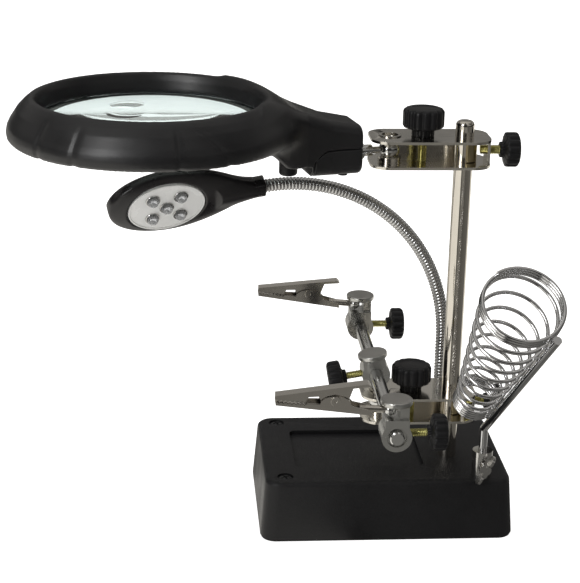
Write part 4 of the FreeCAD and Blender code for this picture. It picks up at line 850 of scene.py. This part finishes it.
def set_camera():
    forward = Vector((
        math.sin(CAMERA_YAW) * math.cos(CAMERA_PITCH),
        math.cos(CAMERA_YAW) * math.cos(CAMERA_PITCH),
        -math.sin(CAMERA_PITCH),
    ))
    level = Vector((math.cos(CAMERA_YAW), -math.sin(CAMERA_YAW), 0))
    upright = level.cross(forward)
    right = level * math.cos(CAMERA_ROLL) + upright * math.sin(CAMERA_ROLL)
    up = -level * math.sin(CAMERA_ROLL) + upright * math.cos(CAMERA_ROLL)
    camera = bpy.data.objects.new("camera", bpy.data.cameras.new("camera"))
    bpy.context.scene.collection.objects.link(camera)
    turn = Matrix((right, up, -forward)).transposed().to_4x4()
    camera.matrix_world = Matrix.Translation(CAMERA_PLACE) @ turn
    camera.data.sensor_width = SENSOR_WIDTH
    camera.data.lens = FOCAL_LENGTH
    camera.data.dof.use_dof = False
    bpy.context.scene.camera = camera


def area_light(name, place, target, size, power, shade=(1, 1, 1), mirrored=True):
    light = bpy.data.lights.new(name, "AREA")
    light.shape = "RECTANGLE"
    light.size = size[0]
    light.size_y = size[1]
    light.energy = power
    light.color = shade
    lamp_object = bpy.data.objects.new(name, light)
    bpy.context.scene.collection.objects.link(lamp_object)
    lamp_object.visible_glossy = mirrored
    lamp_object.visible_transmission = False
    lamp_object.location = place
    aim = Vector(target) - Vector(place)
    lamp_object.rotation_euler = aim.to_track_quat("-Z", "Y").to_euler()


# Brightness of the room from straight down (0) to straight up (1).
SKY = ((0.38, 0.55), (0.47, 0.03), (0.58, 0.06), (0.66, 0.75), (0.80, 0.2), (0.9, 0.9))
# Brightness of the room round the compass: 0.5 is straight ahead of +X, 0.25 of -Y.
ROOM_BANDS = (
    (0.10, 1.0), (0.17, 0.9), (0.215, 0.12), (0.27, 0.12), (0.31, 1.2), (0.40, 0.8), (0.47, 0.25),
    (0.55, 0.9), (0.8, 1.0),
)
# Brightness of the floor round the compass as the bright metals mirror it.
FLOOR_BANDS = (
    (0.18, 0.95), (0.192, 0.07), (0.214, 0.07), (0.224, 0.2), (0.30, 0.2), (0.32, 0.1),
    (0.53, 0.14), (0.56, 0.8), (0.74, 0.8), (0.76, 0.5), (0.92, 0.5), (0.94, 0.95),
)
ROOM_WARMTH = (1.0, 0.97, 0.92)
FLOOR_WARMTH = (1.0, 0.97, 0.9)
FLOOR_END = (0.9, 0.87, 0.81)


def brightness_ramp(nodes, first, last, stops, tint=(1, 1, 1)):
    """A ramp between two end colours, with tinted greys at (place, brightness) pairs."""
    ramp = nodes.new("ShaderNodeValToRGB")
    for stop, colour in zip(ramp.color_ramp.elements, (first, last)):
        stop.color = (*colour, 1)
    for where, level in stops:
        stop = ramp.color_ramp.elements.new(where)
        stop.color = (*[level * share for share in tint], 1)
    return ramp


def compass(nodes, links, vector):
    """A value that goes round with the direction in the level plane, from -X back to -X."""
    around = nodes.new("ShaderNodeTexGradient")
    around.gradient_type = "RADIAL"
    links.new(vector, around.inputs["Vector"])
    return around.outputs["Fac"]


def studio():
    """A room with dark and light bands that the metals mirror, and four soft lamps."""
    world = bpy.data.worlds.new("studio")
    bpy.context.scene.world = world
    world.use_nodes = True
    nodes = world.node_tree.nodes
    links = world.node_tree.links
    back = nodes["Background"]
    direction = nodes.new("ShaderNodeTexCoord").outputs["Generated"]
    split = nodes.new("ShaderNodeSeparateXYZ")
    links.new(direction, split.inputs["Vector"])
    span = nodes.new("ShaderNodeMapRange")
    span.inputs["From Min"].default_value = -1.0
    span.inputs["From Max"].default_value = 1.0
    links.new(split.outputs["Z"], span.inputs["Value"])
    sky = brightness_ramp(nodes, (0.9, 0.9, 0.9), (1.0, 1.0, 1.0), SKY)
    links.new(span.outputs["Result"], sky.inputs["Fac"])
    bands = brightness_ramp(nodes, ROOM_WARMTH, ROOM_WARMTH, ROOM_BANDS, ROOM_WARMTH)
    links.new(compass(nodes, links, direction), bands.inputs["Fac"])
    both = nodes.new("ShaderNodeMix")
    both.data_type = "RGBA"
    both.blend_type = "MULTIPLY"
    both.inputs["Factor"].default_value = 1.0
    links.new(sky.outputs["Color"], both.inputs["A"])
    links.new(bands.outputs["Color"], both.inputs["B"])
    links.new(both.outputs["Result"], back.inputs["Color"])
    back.inputs["Strength"].default_value = 0.5
    plain = nodes.new("ShaderNodeBackground")
    plain.inputs["Color"].default_value = (1, 1, 1, 1)
    plain.inputs["Strength"].default_value = 1.0
    path = nodes.new("ShaderNodeLightPath")
    mix = nodes.new("ShaderNodeMixShader")
    links.new(path.outputs["Is Camera Ray"], mix.inputs["Fac"])
    links.new(back.outputs["Background"], mix.inputs[1])
    links.new(plain.outputs["Background"], mix.inputs[2])
    links.new(mix.outputs["Shader"], nodes["World Output"].inputs["Surface"])
    area_light("key", (-0.75, -0.8, 0.75), (-0.03, 0, 0.1), (0.35, 0.8), 5)
    area_light("fill", (0.9, -0.6, 0.5), (0, 0, 0.1), (0.25, 0.9), 2.5, (1, 0.96, 0.9), mirrored=False)
    area_light("top", (0.0, 0.15, 1.1), (0, 0, 0), (0.8, 0.5), 4, mirrored=False)
    area_light("rim", (-0.5, 1.0, 0.6), (0, 0, 0.12), (0.7, 0.4), 4, mirrored=False)


def combined(nodes, links, operation, first, second):
    """Two light-path values combined by a maths operation, kept between 0 and 1."""
    maths = nodes.new("ShaderNodeMath")
    maths.operation = operation
    maths.use_clamp = True
    links.new(first, maths.inputs[0])
    links.new(second, maths.inputs[1])
    return maths.outputs["Value"]


def floor():
    """A pale floor, with dark and light bands that only mirror rays meet."""
    reach = 3.0
    corners = [(-reach, -reach, 0), (reach, -reach, 0), (reach, reach, 0), (-reach, reach, 0)]
    mesh = bpy.data.meshes.new("floor")
    mesh.from_pydata(corners, [], [(0, 1, 2, 3)])
    made = bpy.data.objects.new("floor", mesh)
    bpy.context.scene.collection.objects.link(made)
    look = material("floor_look", (0.8, 0.8, 0.8), 0.8, grain=60.0, bump=0.0, vary=0.005)
    nodes = look.node_tree.nodes
    links = look.node_tree.links
    shader = nodes["Principled BSDF"]
    shader.inputs["Emission Color"].default_value = (1, 1, 1, 1)
    seen = nodes.new("ShaderNodeLightPath").outputs
    through_glass = seen["Is Transmission Ray"]
    strength = nodes.new("ShaderNodeMapRange")
    strength.inputs["To Min"].default_value = 0.25
    strength.inputs["To Max"].default_value = 0.85
    direct = combined(nodes, links, "MAXIMUM", seen["Is Camera Ray"], through_glass)
    links.new(direct, strength.inputs["Value"])
    links.new(strength.outputs["Result"], shader.inputs["Emission Strength"])
    bands = brightness_ramp(nodes, FLOOR_END, FLOOR_END, FLOOR_BANDS, FLOOR_WARMTH)
    own = nodes.new("ShaderNodeTexCoord").outputs["Object"]
    links.new(compass(nodes, links, own), bands.inputs["Fac"])
    mirrored = nodes.new("ShaderNodeEmission")
    links.new(bands.outputs["Color"], mirrored.inputs["Color"])
    bounced = combined(nodes, links, "SUBTRACT", seen["Is Glossy Ray"], through_glass)
    mix = nodes.new("ShaderNodeMixShader")
    links.new(bounced, mix.inputs["Fac"])
    links.new(shader.outputs["BSDF"], mix.inputs[1])
    links.new(mirrored.outputs["Emission"], mix.inputs[2])
    links.new(mix.outputs["Shader"], nodes["Material Output"].inputs["Surface"])
    made.data.materials.append(look)


set_camera()
studio()
floor()
bpy.context.scene.view_settings.view_transform = "Standard"
